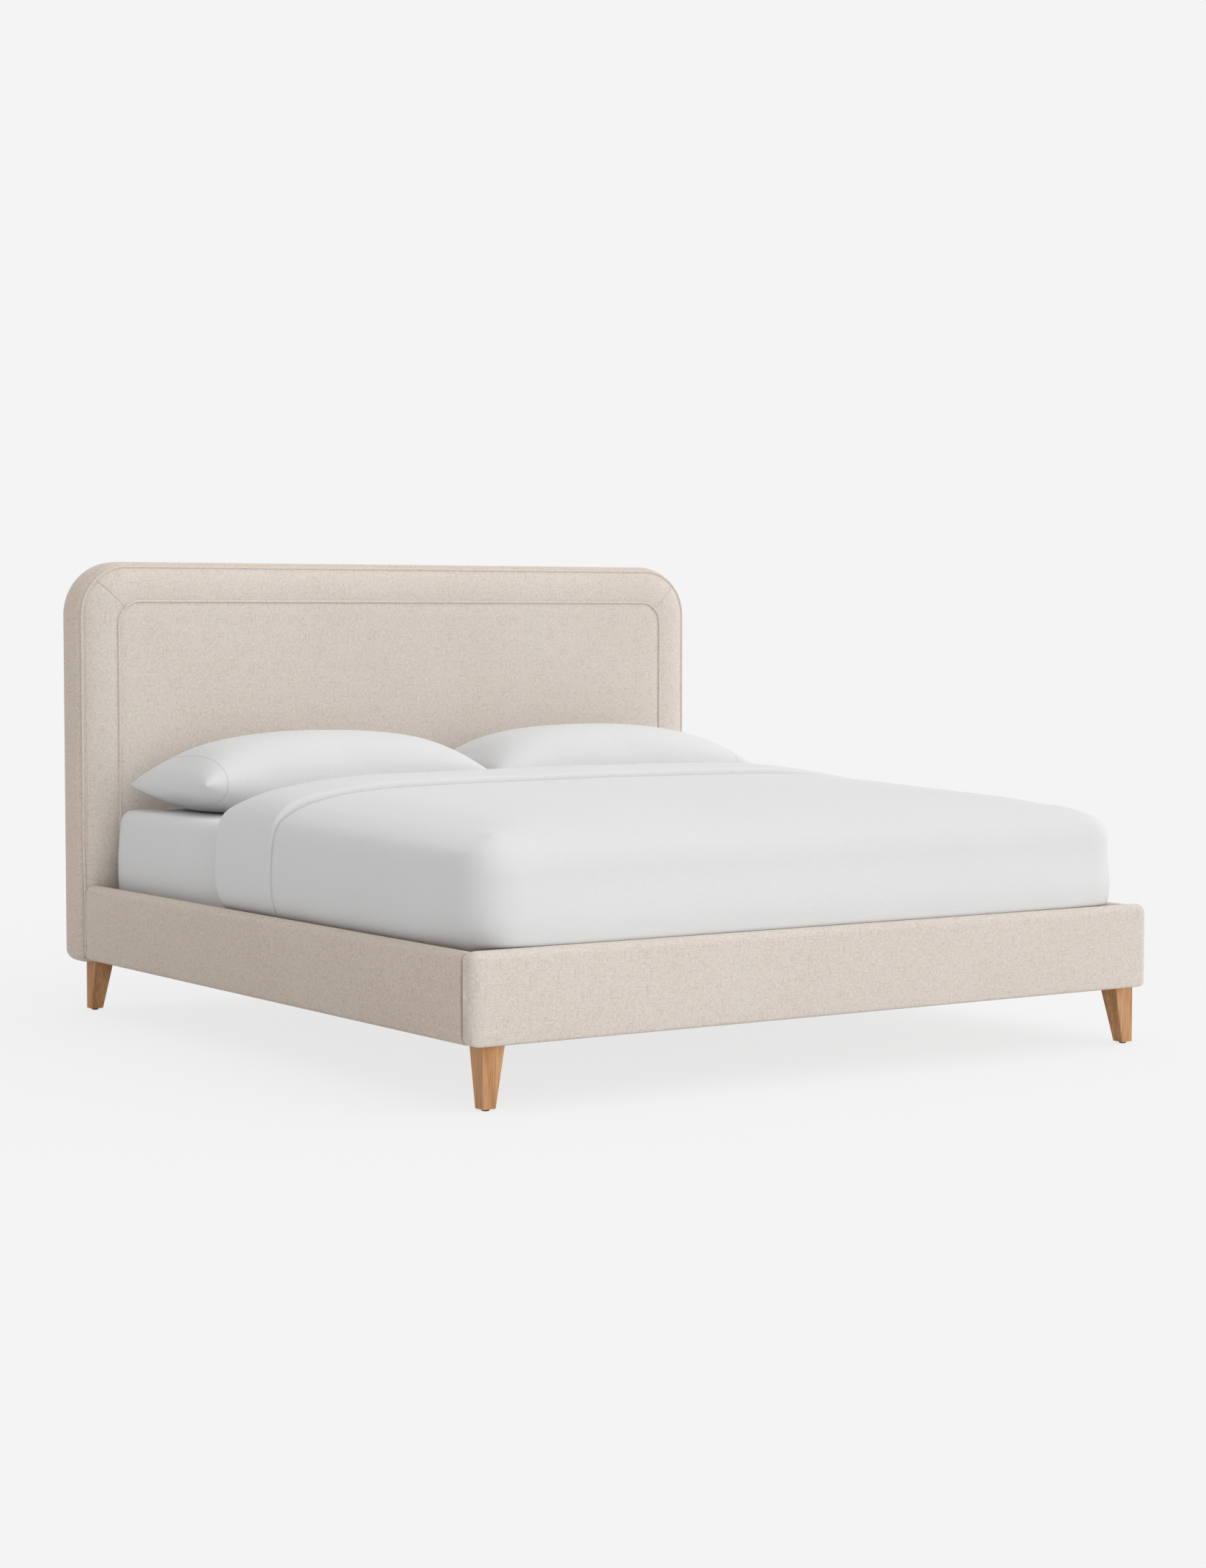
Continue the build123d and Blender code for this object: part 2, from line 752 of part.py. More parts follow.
def pillow_block(plane, middle, half, amount, spare=0.0):
    """One pillow section carried straight through."""
    rim = pillow_outline(middle, half, spare)
    with BuildPart() as block:
        with BuildSketch(plane):
            with BuildLine():
                Spline(*rim, tangents=((1, 0), (1, 0)))
                Line(rim[-1], rim[0])
            make_face()
        extrude(amount=amount, both=True)
    return block.part


pillow_x = pillow_side + pillow_length / 2
pillow_y = face_y - pillow_gap - pillow_width / 2
with BuildPart() as pillow:
    add(pillow_block(Plane.YZ.offset(pillow_x), pillow_y, pillow_width / 2, pillow_length))
    add(
        pillow_block(front_plane(pillow_y), pillow_x, pillow_length / 2, pillow_width, 2 * cloth),
        mode=Mode.INTERSECT,
    )
keep_pair(pillow.part, "pillow")
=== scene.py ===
"""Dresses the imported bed: linen upholstery, slatted base, mattress, bedding and a pale studio."""

import logging
import math
from dataclasses import dataclass, field, replace
from enum import Enum
from itertools import product

import bmesh
import bpy
import numpy as np
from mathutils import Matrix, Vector, noise


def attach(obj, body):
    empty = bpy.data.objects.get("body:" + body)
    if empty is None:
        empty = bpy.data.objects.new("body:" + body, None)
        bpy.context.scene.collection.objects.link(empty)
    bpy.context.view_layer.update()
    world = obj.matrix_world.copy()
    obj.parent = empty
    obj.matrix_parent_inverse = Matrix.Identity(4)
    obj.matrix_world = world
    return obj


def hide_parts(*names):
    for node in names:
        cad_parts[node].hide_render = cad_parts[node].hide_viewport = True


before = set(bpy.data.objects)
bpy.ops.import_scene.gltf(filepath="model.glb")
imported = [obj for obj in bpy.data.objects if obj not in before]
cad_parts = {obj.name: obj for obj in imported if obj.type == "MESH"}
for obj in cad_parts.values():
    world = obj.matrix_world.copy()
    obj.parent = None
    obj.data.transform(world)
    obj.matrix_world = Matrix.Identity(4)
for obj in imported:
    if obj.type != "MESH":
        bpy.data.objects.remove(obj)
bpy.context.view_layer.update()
LOG = logging.getLogger("bed")
WAVE_PERIOD = 0.3142  # the width of one band of the wave texture at a scale of 1
MIDDLE = (0.3, 0.7)  # where most values of a noise texture lie
PIPING_STEP = 0.006  # metres from ring to ring of a cord
PIPING_SIDES = 12
MERGE = 2e-5  # metres within which the points of a closed form are one

Pair = tuple[float, float]
Triple = tuple[float, float, float]
Line = tuple[Pair, ...]
Colour = Triple
Ends = tuple[bool, bool]
Lattice = tuple[np.ndarray, np.ndarray, np.ndarray]
Faces = list[tuple[int, ...]]
Inputs = dict[str | int, object]
Piece = bpy.types.Object
Socket = bpy.types.NodeSocket


class Side(Enum):
    """The two sides of the bed, seen from its foot."""

    LEFT = -1
    RIGHT = 1

    @property
    def word(self) -> str:
        """The side's name as the pieces use it."""
        return self.name.lower()


class Coordinates(Enum):
    """What a finish lays its pattern on."""

    CLOTH = "UV"
    OBJECT = "Object"


class Grain(Enum):
    """The direction that wood grain runs in."""

    ALONG_X = (0.05, 1.0, 1.0)
    ALONG_Y = (1.0, 0.05, 1.0)
    ALONG_Z = (1.0, 1.0, 0.05)


class Fastener(Enum):
    """Small repeated pieces, set one by one on points."""

    SCREW = "screw"
    STAPLE = "staple"


def srgb(red: float, green: float, blue: float) -> Colour:
    """Turn screen colour numbers from 0 to 255 into linear ones."""
    parts = (value / 255.0 for value in (red, green, blue))
    return tuple(p / 12.92 if p <= 0.04045 else ((p + 0.055) / 1.055) ** 2.4 for p in parts)


def opaque(colour: Colour) -> tuple[float, float, float, float]:
    """Give a colour its fourth number."""
    return (*colour, 1.0)


def ease(value: np.ndarray, low: float, high: float) -> np.ndarray:
    """Rise smoothly from 0 to 1 between two values."""
    t = np.clip((value - low) / (high - low), 0.0, 1.0)
    return t * t * (3.0 - 2.0 * t)


def flow(points: Line, count: int) -> np.ndarray:
    """Draw a smooth line through points and divide it evenly.

    Args:
        points: The points that the line passes through.
        count: How many points to return.

    Returns:
        An array of count points.
    """
    knots = np.array(points, float)
    ends = np.vstack([2 * knots[0] - knots[1], knots, 2 * knots[-1] - knots[-2]])
    t = np.linspace(0.0, 1.0, 24, endpoint=False)[:, None]
    spans = []
    for a, b, c, d in zip(ends[:-3], ends[1:-2], ends[2:-1], ends[3:]):
        cubic = -a + 3 * b - 3 * c + d
        square = 2 * a - 5 * b + 4 * c - d
        spans.append(0.5 * (2 * b + (c - a) * t + square * t**2 + cubic * t**3))
    line = np.vstack([*spans, knots[-1:]])
    return divide(line, count)


def divide(line: np.ndarray, count: int) -> np.ndarray:
    """Divide a line of points evenly along its length.

    Args:
        line: The points of the line.
        count: How many points to return.

    Returns:
        An array of count points.
    """
    reach = run_length(line)
    want = np.linspace(0.0, reach[-1], count)
    return np.stack([np.interp(want, reach, line[:, i]) for i in range(line.shape[1])], axis=1)


def run_length(line: np.ndarray) -> np.ndarray:
    """The distance along a line of points at each point."""
    return np.concatenate([[0.0], np.cumsum(np.linalg.norm(np.diff(line, axis=0), axis=1))])


def arc(centre: Pair, radius: float, start: float, end: float, count: int) -> np.ndarray:
    """Points on a circular arc between two angles in degrees."""
    turn = np.radians(np.linspace(start, end, count))
    return np.stack([centre[0] + radius * np.cos(turn), centre[1] + radius * np.sin(turn)], axis=1)


def ripple(points: np.ndarray, size: float, seed: float) -> np.ndarray:
    """Smooth noise over a set of points.

    Args:
        points: The points, in an array whose last axis has three numbers.
        size: The width of a ripple, in metres.
        seed: A fixed shift of the pattern.

    Returns:
        A number from about -1 to 1 for each point.
    """
    flat = points.reshape(-1, 3) / size + seed
    values = np.array([noise.noise(Vector(p)) for p in flat])
    return values.reshape(points.shape[:-1])


def spots_at(x: object, y: object, z: object) -> np.ndarray:
    """Points in space from numbers or arrays of X, Y and Z."""
    return np.stack(np.broadcast_arrays(x, y, z), axis=-1)


def lattice_faces(rows: int, columns: int, start: int = 0, flip: bool = False) -> Faces:
    """The four-sided faces of a lattice of points.

    Args:
        rows: How many rows of points.
        columns: How many points in a row.
        start: The number of the first point.
        flip: Whether the faces turn the other way.

    Returns:
        The faces, as point numbers.
    """
    faces = []
    for i in range(rows - 1):
        for j in range(columns - 1):
            a = start + i * columns + j
            face = (a, a + 1, a + columns + 1, a + columns)
            faces.append(face[::-1] if flip else face)
    return faces


def link_piece(name: str, mesh: bpy.types.Mesh) -> Piece:
    """Put a mesh into the scene as an object at the origin.

    Args:
        name: The piece's name.
        mesh: Its mesh.

    Returns:
        The object.
    """
    piece = bpy.data.objects.new(name, mesh)
    bpy.context.scene.collection.objects.link(piece)
    return piece


def new_piece(
    name: str, points: np.ndarray, faces: Faces, cloth: np.ndarray | None = None
) -> Piece:
    """Make a smooth-shaded mesh object.

    Args:
        name: The piece's name.
        points: Its points.
        faces: Its faces, as point numbers.
        cloth: The points' places on the flat cloth, in metres.

    Returns:
        The object, at the origin.
    """
    mesh = bpy.data.meshes.new(name)
    mesh.from_pydata(points.reshape(-1, 3).tolist(), [], faces)
    if cloth is not None:
        layer = mesh.uv_layers.new(name="UVMap")
        corners = np.empty(len(mesh.loops), np.int32)
        mesh.loops.foreach_get("vertex_index", corners)
        flat = cloth.reshape(-1, 2)[corners]
        layer.data.foreach_set("uv", flat.astype(np.float32).ravel())
    mesh.shade_smooth()
    return link_piece(name, mesh)


def lattice_piece(name: str, points: np.ndarray, cloth: np.ndarray, flip: bool = False) -> Piece:
    """Make one open sheet from rows and columns of points and their places on the flat cloth."""
    rows, columns = points.shape[:2]
    return new_piece(name, points, lattice_faces(rows, columns, flip=flip), cloth)


def filled_piece(name: str, outer: np.ndarray, inner: np.ndarray, cloth: np.ndarray) -> Piece:
    """Make a closed form between an outer and an inner lattice of the same layout.

    Args:
        name: The piece's name.
        outer: Rows and columns of points on the outside.
        inner: The points behind them.
        cloth: Their places on the flat cloth.

    Returns:
        The object.
    """
    rows, columns = outer.shape[:2]
    count = rows * columns
    faces = lattice_faces(rows, columns) + lattice_faces(rows, columns, count, flip=True)
    rim = list(range(columns))
    rim += [i * columns + columns - 1 for i in range(1, rows)]
    rim += [(rows - 1) * columns + j for j in range(columns - 2, -1, -1)]
    rim += [i * columns for i in range(rows - 2, 0, -1)]
    for a, b in zip(rim, rim[1:] + rim[:1]):
        faces.append((b, a, a + count, b + count))
    points = np.concatenate([outer.reshape(-1, 3), inner.reshape(-1, 3)])
    return new_piece(name, points, faces, np.concatenate([cloth.reshape(-1, 2)] * 2))


def settle_modifiers(piece: Piece) -> Piece:
    """Turn a piece and its modifiers into a plain mesh.

    Args:
        piece: The piece.

    Returns:
        The same object.
    """
    graph = bpy.context.evaluated_depsgraph_get()
    made = bpy.data.meshes.new_from_object(piece.evaluated_get(graph))
    made.name = piece.name
    piece.modifiers.clear()
    old = piece.data
    piece.data = made
    bpy.data.meshes.remove(old)
    return piece


def thicken(piece: Piece, thickness: float) -> None:
    """Give an open sheet its thickness, inwards from its face.

    Args:
        piece: The sheet.
        thickness: The cloth's thickness in metres.
    """
    wall = piece.modifiers.new("Cloth thickness", "SOLIDIFY")
    wall.thickness = thickness
    wall.offset = -1.0
    wall.use_even_offset = False
    settle_modifiers(piece)


def merge_doubles(piece: Piece, distance: float = 1e-5) -> None:
    """Join points of a piece that lie together, and clear the empty faces that this leaves.

    Args:
        piece: The piece.
        distance: How near the points are.
    """
    form = bmesh.new()
    form.from_mesh(piece.data)
    bmesh.ops.remove_doubles(form, verts=form.verts, dist=distance)
    bmesh.ops.dissolve_degenerate(form, edges=form.edges, dist=distance)
    form.to_mesh(piece.data)
    form.free()
    piece.data.shade_smooth()


def crisp(piece: Piece, angle: float = 40.0) -> None:
    """Keep a piece's sharp bends sharp where the rest is shaded smooth.

    Args:
        piece: The piece.
        angle: The least bend that stays sharp, in degrees.
    """
    form = bmesh.new()
    form.from_mesh(piece.data)
    for edge in form.edges:
        edge.smooth = edge.calc_face_angle(0.0) < math.radians(angle)
    form.to_mesh(piece.data)
    form.free()


class Nodes:
    """Adds nodes to a tree and joins their sockets."""

    def __init__(self, tree: bpy.types.NodeTree) -> None:
        """Keep the tree that the nodes go into."""
        self.tree = tree

    def add(self, kind: str, inputs: Inputs | None = None, **settings: object) -> bpy.types.Node:
        """Add one node.

        Args:
            kind: The node's type name.
            inputs: Values or sockets for its inputs, by name or place.
            settings: Its own properties.

        Returns:
            The node.
        """
        node = self.tree.nodes.new(kind)
        for key, value in settings.items():
            setattr(node, key, value)
        for key, value in (inputs or {}).items():
            if isinstance(value, Socket):
                self.tree.links.new(value, node.inputs[key])
            else:
                node.inputs[key].default_value = value
        return node

    def maths(self, operation: str, first: object, second: object = 0.0) -> Socket:
        """Add a sum of numbers or sockets and give its result."""
        return self.add("ShaderNodeMath", {0: first, 1: second}, operation=operation).outputs[0]

    def spread(
        self, value: object, low: float, high: float, new_low: float, new_high: float
    ) -> Socket:
        """Stretch a range of numbers over another."""
        inputs = {0: value, 1: low, 2: high, 3: new_low, 4: new_high}
        return self.add("ShaderNodeMapRange", inputs).outputs[0]

    def mix(self, share: object, first: object, second: object) -> Socket:
        """Mix two colours: the first where the share is 0, the second where it is 1."""
        node = self.add("ShaderNodeMix", {0: share, 6: first, 7: second}, data_type="RGBA")
        return node.outputs[2]

    def noise(self, where: object, scale: Triple, detail: float = 2.0) -> Socket:
        """Add stretched noise.

        Args:
            where: The coordinates' socket.
            scale: How many ripples in a metre along each axis.
            detail: How much fine detail it has.

        Returns:
            The noise's socket.
        """
        laid = self.add("ShaderNodeMapping", {"Vector": where, "Scale": scale}).outputs[0]
        inputs = {"Vector": laid, "Scale": 1.0, "Detail": detail, "Roughness": 0.6}
        return self.add("ShaderNodeTexNoise", inputs).outputs[0]

    def relief(self, height: Socket, strength: float, distance: float) -> Socket:
        """Raise a surface by a height, over a distance in metres."""
        inputs = {"Strength": strength, "Distance": distance, "Height": height}
        return self.add("ShaderNodeBump", inputs).outputs[0]

    def where(self, kind: Coordinates) -> Socket:
        """The coordinates that a pattern is laid on."""
        return self.add("ShaderNodeTexCoord").outputs[kind.value]


def fresh_nodes(owner: bpy.types.Material | bpy.types.World) -> Nodes:
    """Give a material or a world an empty tree of nodes.

    Args:
        owner: The material or the world.

    Returns:
        The tree, ready for nodes.
    """
    owner.use_nodes = True
    owner.node_tree.nodes.clear()
    return Nodes(owner.node_tree)


@dataclass(frozen=True)
class Finish:
    """A finish with a name, the record's slot for it and its two colours."""

    name: str
    slot: str
    pale: Colour
    dark: Colour

    def material(self) -> bpy.types.Material:
        """The finish as a material, made once.

        Returns:
            The material.
        """
        found = bpy.data.materials.get(self.name)
        if found:
            return found
        made = bpy.data.materials.new(self.name)
        nodes = fresh_nodes(made)
        shader = nodes.add("ShaderNodeBsdfPrincipled", self.shade(nodes))
        nodes.add("ShaderNodeOutputMaterial", {"Surface": shader.outputs[0]})
        return made

    def colour(self, nodes: Nodes, share: Socket) -> Socket:
        """The dark colour where the share is 0, the pale one where it is 1."""
        return nodes.mix(share, opaque(self.dark), opaque(self.pale))

    def shade(self, nodes: Nodes) -> Inputs:
        """What the finish gives its shader, by the names of the shader's inputs."""
        raise NotImplementedError


@dataclass(frozen=True)
class Woven(Finish):
    """Woven cloth with slubs along both of its threads."""

    thread: float = 0.0012
    slub_length: float = 0.016
    slub_width: float = 0.0021
    yarn_length: float = 0.010
    yarn_width: float = 0.0022
    contrast: float = 1.0
    bump: float = 0.0006
    sheen: float = 0.2
    turn: float = 0.0
    lie: Coordinates = Coordinates.CLOTH
    hem: float = 0.0
    hem_reach: Pair = (0.0012, 0.0034)
    hem_depth: float = 3.0
    # painted shadow in the hem's groove: how far the colour goes toward a dimmed dark tone, and how
    # dim
    hem_shadow_share: float = 0.22
    hem_shadow_tone: float = 0.45
    slub_band: Pair = (0.56, 0.67)
    slub_share: float = 0.4
    yarn_range: float = 0.3
    drift: float = 0.05
    drifts_in_a_metre: float = 3.0
    rib_height: float = 0.45
    smoothest: float = 0.82
    roughest: float = 0.95

    def shade(self, nodes: Nodes) -> Inputs:
        """Lay out the weave.

        Args:
            nodes: The material's nodes.

        Returns:
            What the shader gets, by the names of its inputs.
        """
        flat = nodes.where(self.lie)
        spin = (0.0, self.turn, 0.0) if self.lie is Coordinates.OBJECT else (0.0, 0.0, self.turn)
        cloth = nodes.add("ShaderNodeMapping", {"Vector": flat, "Rotation": spin}).outputs[0]
        share = self.tone(nodes, cloth)
        drift = nodes.noise(cloth, (self.drifts_in_a_metre,) * 3, 1.0)
        tone = nodes.maths("ADD", share, nodes.spread(drift, *MIDDLE, -self.drift, self.drift))
        colour = self.colour(nodes, tone)
        height = nodes.maths("ADD", self.ribs(nodes, cloth), share)
        if self.hem:
            height, colour = self.hem_line(nodes, flat, height, colour)
        return {
            "Base Color": colour,
            "Roughness": nodes.spread(share, 0.0, 1.0, self.roughest, self.smoothest),
            "Normal": nodes.relief(height, 0.5, self.bump),
            "Specular IOR Level": 0.2,
            "Sheen Weight": self.sheen,
            "Sheen Roughness": 0.45,
        }

    def tone(self, nodes: Nodes, cloth: Socket) -> Socket:
        """How pale the cloth is: an even grain of yarns, less the slubs.

        Args:
            nodes: The material's nodes.
            cloth: The cloth's coordinates.

        Returns:
            The share of the pale colour.
        """
        yarns = self.threads(nodes, cloth, self.yarn_width, self.yarn_length)
        half = self.yarn_range / self.contrast
        both = nodes.maths("ADD", *yarns)
        even = nodes.spread(both, 1.0 - half, 1.0 + half, 0.0, 1.0 - self.slub_share)
        streaks = self.threads(nodes, cloth, self.slub_width, self.slub_length)
        slubs = [nodes.spread(part, *self.slub_band, 0.0, 1.0) for part in streaks]
        most = nodes.maths("MAXIMUM", *slubs)
        return nodes.maths("ADD", even, nodes.spread(most, 0.0, 1.0, self.slub_share, 0.0))

    def ribs(self, nodes: Nodes, cloth: Socket) -> Socket:
        """The height of the crossing threads.

        Args:
            nodes: The material's nodes.
            cloth: The cloth's coordinates.

        Returns:
            The height's socket.
        """
        pitch = WAVE_PERIOD / self.thread
        bands = {"Vector": cloth, "Scale": pitch, "Distortion": 0.6, "Detail": 1.0}
        warp = nodes.add("ShaderNodeTexWave", bands, bands_direction="X").outputs[1]
        upright = "Y" if self.lie is Coordinates.CLOTH else "Z"
        weft = nodes.add("ShaderNodeTexWave", bands, bands_direction=upright).outputs[1]
        return nodes.maths("MULTIPLY", nodes.maths("MAXIMUM", warp, weft), self.rib_height)

    def threads(
        self, nodes: Nodes, cloth: Socket, width: float, length: float
    ) -> tuple[Socket, Socket]:
        """Streaks along each of the cloth's two threads.

        Args:
            nodes: The material's nodes.
            cloth: The cloth's coordinates.
            width: The streaks' width in metres.
            length: The streaks' length in metres.

        Returns:
            The two sockets, each about 0.5 in the middle.
        """
        fine, long = 1.0 / width, 1.0 / length
        across = fine if self.lie is Coordinates.CLOTH else long
        return nodes.noise(cloth, (fine, long, across)), nodes.noise(cloth, (long, fine, fine))

    def hem_line(
        self, nodes: Nodes, flat: Socket, height: Socket, colour: Socket
    ) -> tuple[Socket, Socket]:
        """Sink a sewn line into the cloth, a fixed way along it, and darken it with painted shadow.

        Args:
            nodes: The material's nodes.
            flat: The cloth's coordinates.
            height: The height so far.
            colour: The colour so far.

        Returns:
            The height and the colour with the line, and its painted shadow, in them.
        """
        along = nodes.add("ShaderNodeSeparateXYZ", {0: flat}).outputs[0]
        away = nodes.maths("ABSOLUTE", nodes.maths("SUBTRACT", along, self.hem))
        line = nodes.spread(away, *self.hem_reach, 1.0, 0.0)
        # painted shadow: the colour darkens along the sewn line
        shade = nodes.maths("MULTIPLY", line, self.hem_shadow_share)
        dim = tuple(self.hem_shadow_tone * part for part in self.dark)
        deep = nodes.maths("SUBTRACT", height, nodes.maths("MULTIPLY", line, self.hem_depth))
        return deep, nodes.mix(shade, colour, opaque(dim))


@dataclass(frozen=True)
class Wood(Finish):
    """Bare or oiled wood with grain in one direction."""

    grain: Grain = Grain.ALONG_Z
    fineness: float = 260.0
    figure: float = 22.0
    roughness: float = 0.5
    bump: float = 0.0006

    def shade(self, nodes: Nodes) -> Inputs:
        """Lay out the grain.

        Args:
            nodes: The material's nodes.

        Returns:
            What the shader gets, by the names of its inputs.
        """
        where = nodes.where(Coordinates.OBJECT)
        fine = tuple(self.fineness * part for part in self.grain.value)
        broad = tuple(self.figure * part for part in self.grain.value)
        pores = nodes.noise(where, fine, 3.0)
        bands = nodes.noise(where, broad, 2.0)
        share = nodes.spread(bands, 0.32, 0.68, 0.0, 1.0)
        lines = nodes.spread(pores, 0.35, 0.65, -0.35, 0.35)
        tone = nodes.maths("ADD", share, lines)
        low, high = self.roughness + 0.12, self.roughness - 0.06
        return {
            "Base Color": self.colour(nodes, tone),
            "Roughness": nodes.spread(tone, 0.0, 1.0, low, high),
            "Normal": nodes.relief(pores, 0.25, self.bump),
            "Specular IOR Level": 0.35,
        }


@dataclass(frozen=True)
class Layered(Finish):
    """Plywood: pale layers one on another, with the grain along the bed."""

    layer: float = 0.002
    roughness: float = 0.72
    bump: float = 0.0005

    def shade(self, nodes: Nodes) -> Inputs:
        """Lay out the layers.

        Args:
            nodes: The material's nodes.

        Returns:
            What the shader gets, by the names of its inputs.
        """
        where = nodes.where(Coordinates.OBJECT)
        figure = nodes.noise(where, (2.0, 2.0, 60.0), 3.0)
        ply = nodes.noise(where, (1.0 / self.layer, 1.0 / self.layer, 1.5), 0.0)
        broad = nodes.spread(figure, *MIDDLE, 0.1, 0.8)
        tone = nodes.maths("ADD", broad, nodes.maths("MULTIPLY", ply, 0.3))
        return {
            "Base Color": self.colour(nodes, tone),
            "Roughness": self.roughness,
            "Normal": nodes.relief(figure, 0.2, self.bump),
        }


@dataclass(frozen=True)
class Moulded(Finish):
    """Plastic or metal with a fine grain and a little wear."""

    metal: float = 0.0
    roughness: float = 0.5
    scale: float = 900.0
    bump: float = 0.0003

    def shade(self, nodes: Nodes) -> Inputs:
        """Lay out the grain.

        Args:
            nodes: The material's nodes.

        Returns:
            What the shader gets, by the names of its inputs.
        """
        where = nodes.where(Coordinates.OBJECT)
        grain = nodes.noise(where, (self.scale,) * 3, 2.0)
        cloud = nodes.noise(where, (40.0,) * 3, 2.0)
        share = nodes.spread(cloud, *MIDDLE, 0.0, 1.0)
        low, high = self.roughness - 0.08, self.roughness + 0.1
        return {
            "Base Color": self.colour(nodes, share),
            "Roughness": nodes.spread(cloud, *MIDDLE, low, high),
            "Normal": nodes.relief(grain, 0.2, self.bump),
            "Metallic": self.metal,
        }


@dataclass(frozen=True)
class Sponge(Finish):
    """Open-cell upholstery foam."""

    cell: float = 0.0018
    roughness: float = 0.95
    bump: float = 0.001

    def shade(self, nodes: Nodes) -> Inputs:
        """Lay out the cells.

        Args:
            nodes: The material's nodes.

        Returns:
            What the shader gets, by the names of its inputs.
        """
        where = nodes.where(Coordinates.OBJECT)
        inputs = {"Vector": where, "Scale": 1.0 / self.cell}
        cells = nodes.add("ShaderNodeTexVoronoi", inputs).outputs[0]
        share = nodes.spread(cells, 0.1, 0.7, 1.0, 0.0)
        return {
            "Base Color": self.colour(nodes, share),
            "Roughness": self.roughness,
            "Normal": nodes.relief(share, 0.6, self.bump),
        }


LINEN = Woven(
    "oatmeal_linen_weave",
    "oatmeal_linen",
    srgb(224, 215, 206),
    srgb(194, 182, 171),
    slub_length=0.045,
    slub_width=0.0026,
    contrast=1.5,
)
# A darker, warmer copy of the linen with stronger weave contrast, for both rails and the
# headboard's side band: painted shade for faces turned away from the light.
SHADED_LINEN = replace(
    LINEN,
    name="oatmeal_linen_with_painted_shade",
    pale=srgb(222, 208, 195),
    dark=srgb(188, 171, 157),
    contrast=1.9,
)
PIPING_LINEN = replace(
    LINEN,
    name="oatmeal_linen_on_the_bias",
    turn=math.radians(45),
    lie=Coordinates.OBJECT,
    slub_length=0.02,
    slub_width=0.003,
    contrast=1.0,
)
BACKING = Woven(
    "black_backing_cloth",
    "backing_cloth",
    srgb(62, 60, 58),
    srgb(44, 42, 41),
    slub_length=0.006,
    slub_width=0.002,
    sheen=0.05,
)
COTTON = Woven(
    "white_cotton_weave",
    "white_cotton",
    srgb(221, 221, 221),
    srgb(214, 214, 214),
    thread=0.0008,
    slub_length=0.03,
    slub_width=0.0018,
    bump=0.00025,
    sheen=0.12,
)
# cotton with a sunk hem line, darkened with painted shadow
HEMMED_COTTON = replace(COTTON, name="white_cotton_with_hem", hem=0.403)
TICKING = Woven(
    "mattress_ticking_cloth",
    "mattress_ticking",
    srgb(228, 226, 221),
    srgb(206, 204, 200),
    thread=0.0016,
    slub_length=0.05,
    slub_width=0.004,
    bump=0.0008,
    sheen=0.1,
)
WEBBING = Woven(
    "woven_strap",
    "webbing",
    srgb(196, 190, 178),
    srgb(150, 144, 132),
    lie=Coordinates.OBJECT,
    sheen=0.05,
)
LEG_WOOD = Wood(
    "oiled_leg_wood", "leg_wood", srgb(212, 164, 118), srgb(170, 120, 76), roughness=0.46
)
PINE_Z = Wood("pine_upright", "pine", srgb(222, 192, 146), srgb(194, 156, 106), roughness=0.66)
PINE_X = replace(PINE_Z, name="pine_across", grain=Grain.ALONG_X)
PINE_Y = replace(PINE_Z, name="pine_lengthways", grain=Grain.ALONG_Y)
PLYWOOD = Layered("plywood_sheet", "plywood", srgb(214, 184, 140), srgb(178, 142, 98))
PLASTIC = Moulded("dark_plastic_grain", "dark_plastic", srgb(46, 44, 42), srgb(32, 31, 30))
STEEL = Moulded(
    "zinc_plate",
    "zinc_steel",
    srgb(196, 198, 200),
    srgb(160, 162, 166),
    metal=1.0,
    roughness=0.38,
    scale=300.0,
)
FOAM = Sponge("upholstery_foam", "foam", srgb(232, 220, 182), srgb(206, 190, 146))


class Tree:
    """A tree of geometry nodes with named inputs."""

    def __init__(self, name: str) -> None:
        """Start a tree that takes and gives geometry.

        Args:
            name: The tree's name.
        """
        self.tree = bpy.data.node_groups.new(name, "GeometryNodeTree")
        self.nodes = Nodes(self.tree)
        self.sockets: dict[str, str] = {}
        self.values: dict[str, object] = {}
        for way in ("INPUT", "OUTPUT"):
            self.tree.interface.new_socket(
                "Geometry", in_out=way, socket_type="NodeSocketGeometry"
            )
        self.entry = self.nodes.add("NodeGroupInput")

    def value(self, name: str, kind: str, value: object) -> Socket:
        """Add a named input and give its socket.

        Args:
            name: The input's name.
            kind: The socket's type name.
            value: What the modifier sets it to.

        Returns:
            The input's socket inside the tree.
        """
        made = self.tree.interface.new_socket(name, in_out="INPUT", socket_type=kind)
        self.sockets[name] = made.identifier
        self.values[name] = value
        return self.entry.outputs[name]

    def end(self, shape: Socket, finish: Finish) -> None:
        """Close the tree: smooth, real geometry with its material.

        Args:
            shape: The geometry so far.
            finish: The finish that it gets.
        """
        material = self.value("Finish", "NodeSocketMaterial", finish.material())
        real = self.nodes.add("GeometryNodeRealizeInstances", {0: shape}).outputs[0]
        smooth = self.nodes.add("GeometryNodeSetShadeSmooth", {0: real}).outputs[0]
        inputs = {"Geometry": smooth, "Material": material}
        painted = self.nodes.add("GeometryNodeSetMaterial", inputs).outputs[0]
        self.nodes.add("NodeGroupOutput", {0: painted})

    def run(self, piece: Piece) -> Piece:
        """Run the tree on a piece and keep the result as a plain mesh.

        Args:
            piece: The object that holds the path or the points.

        Returns:
            The same object with its new mesh.
        """
        modifier = piece.modifiers.new(self.tree.name, "NODES")
        modifier.node_group = self.tree
        for name, value in self.values.items():
            modifier[self.sockets[name]] = value
        return settle_modifiers(piece)


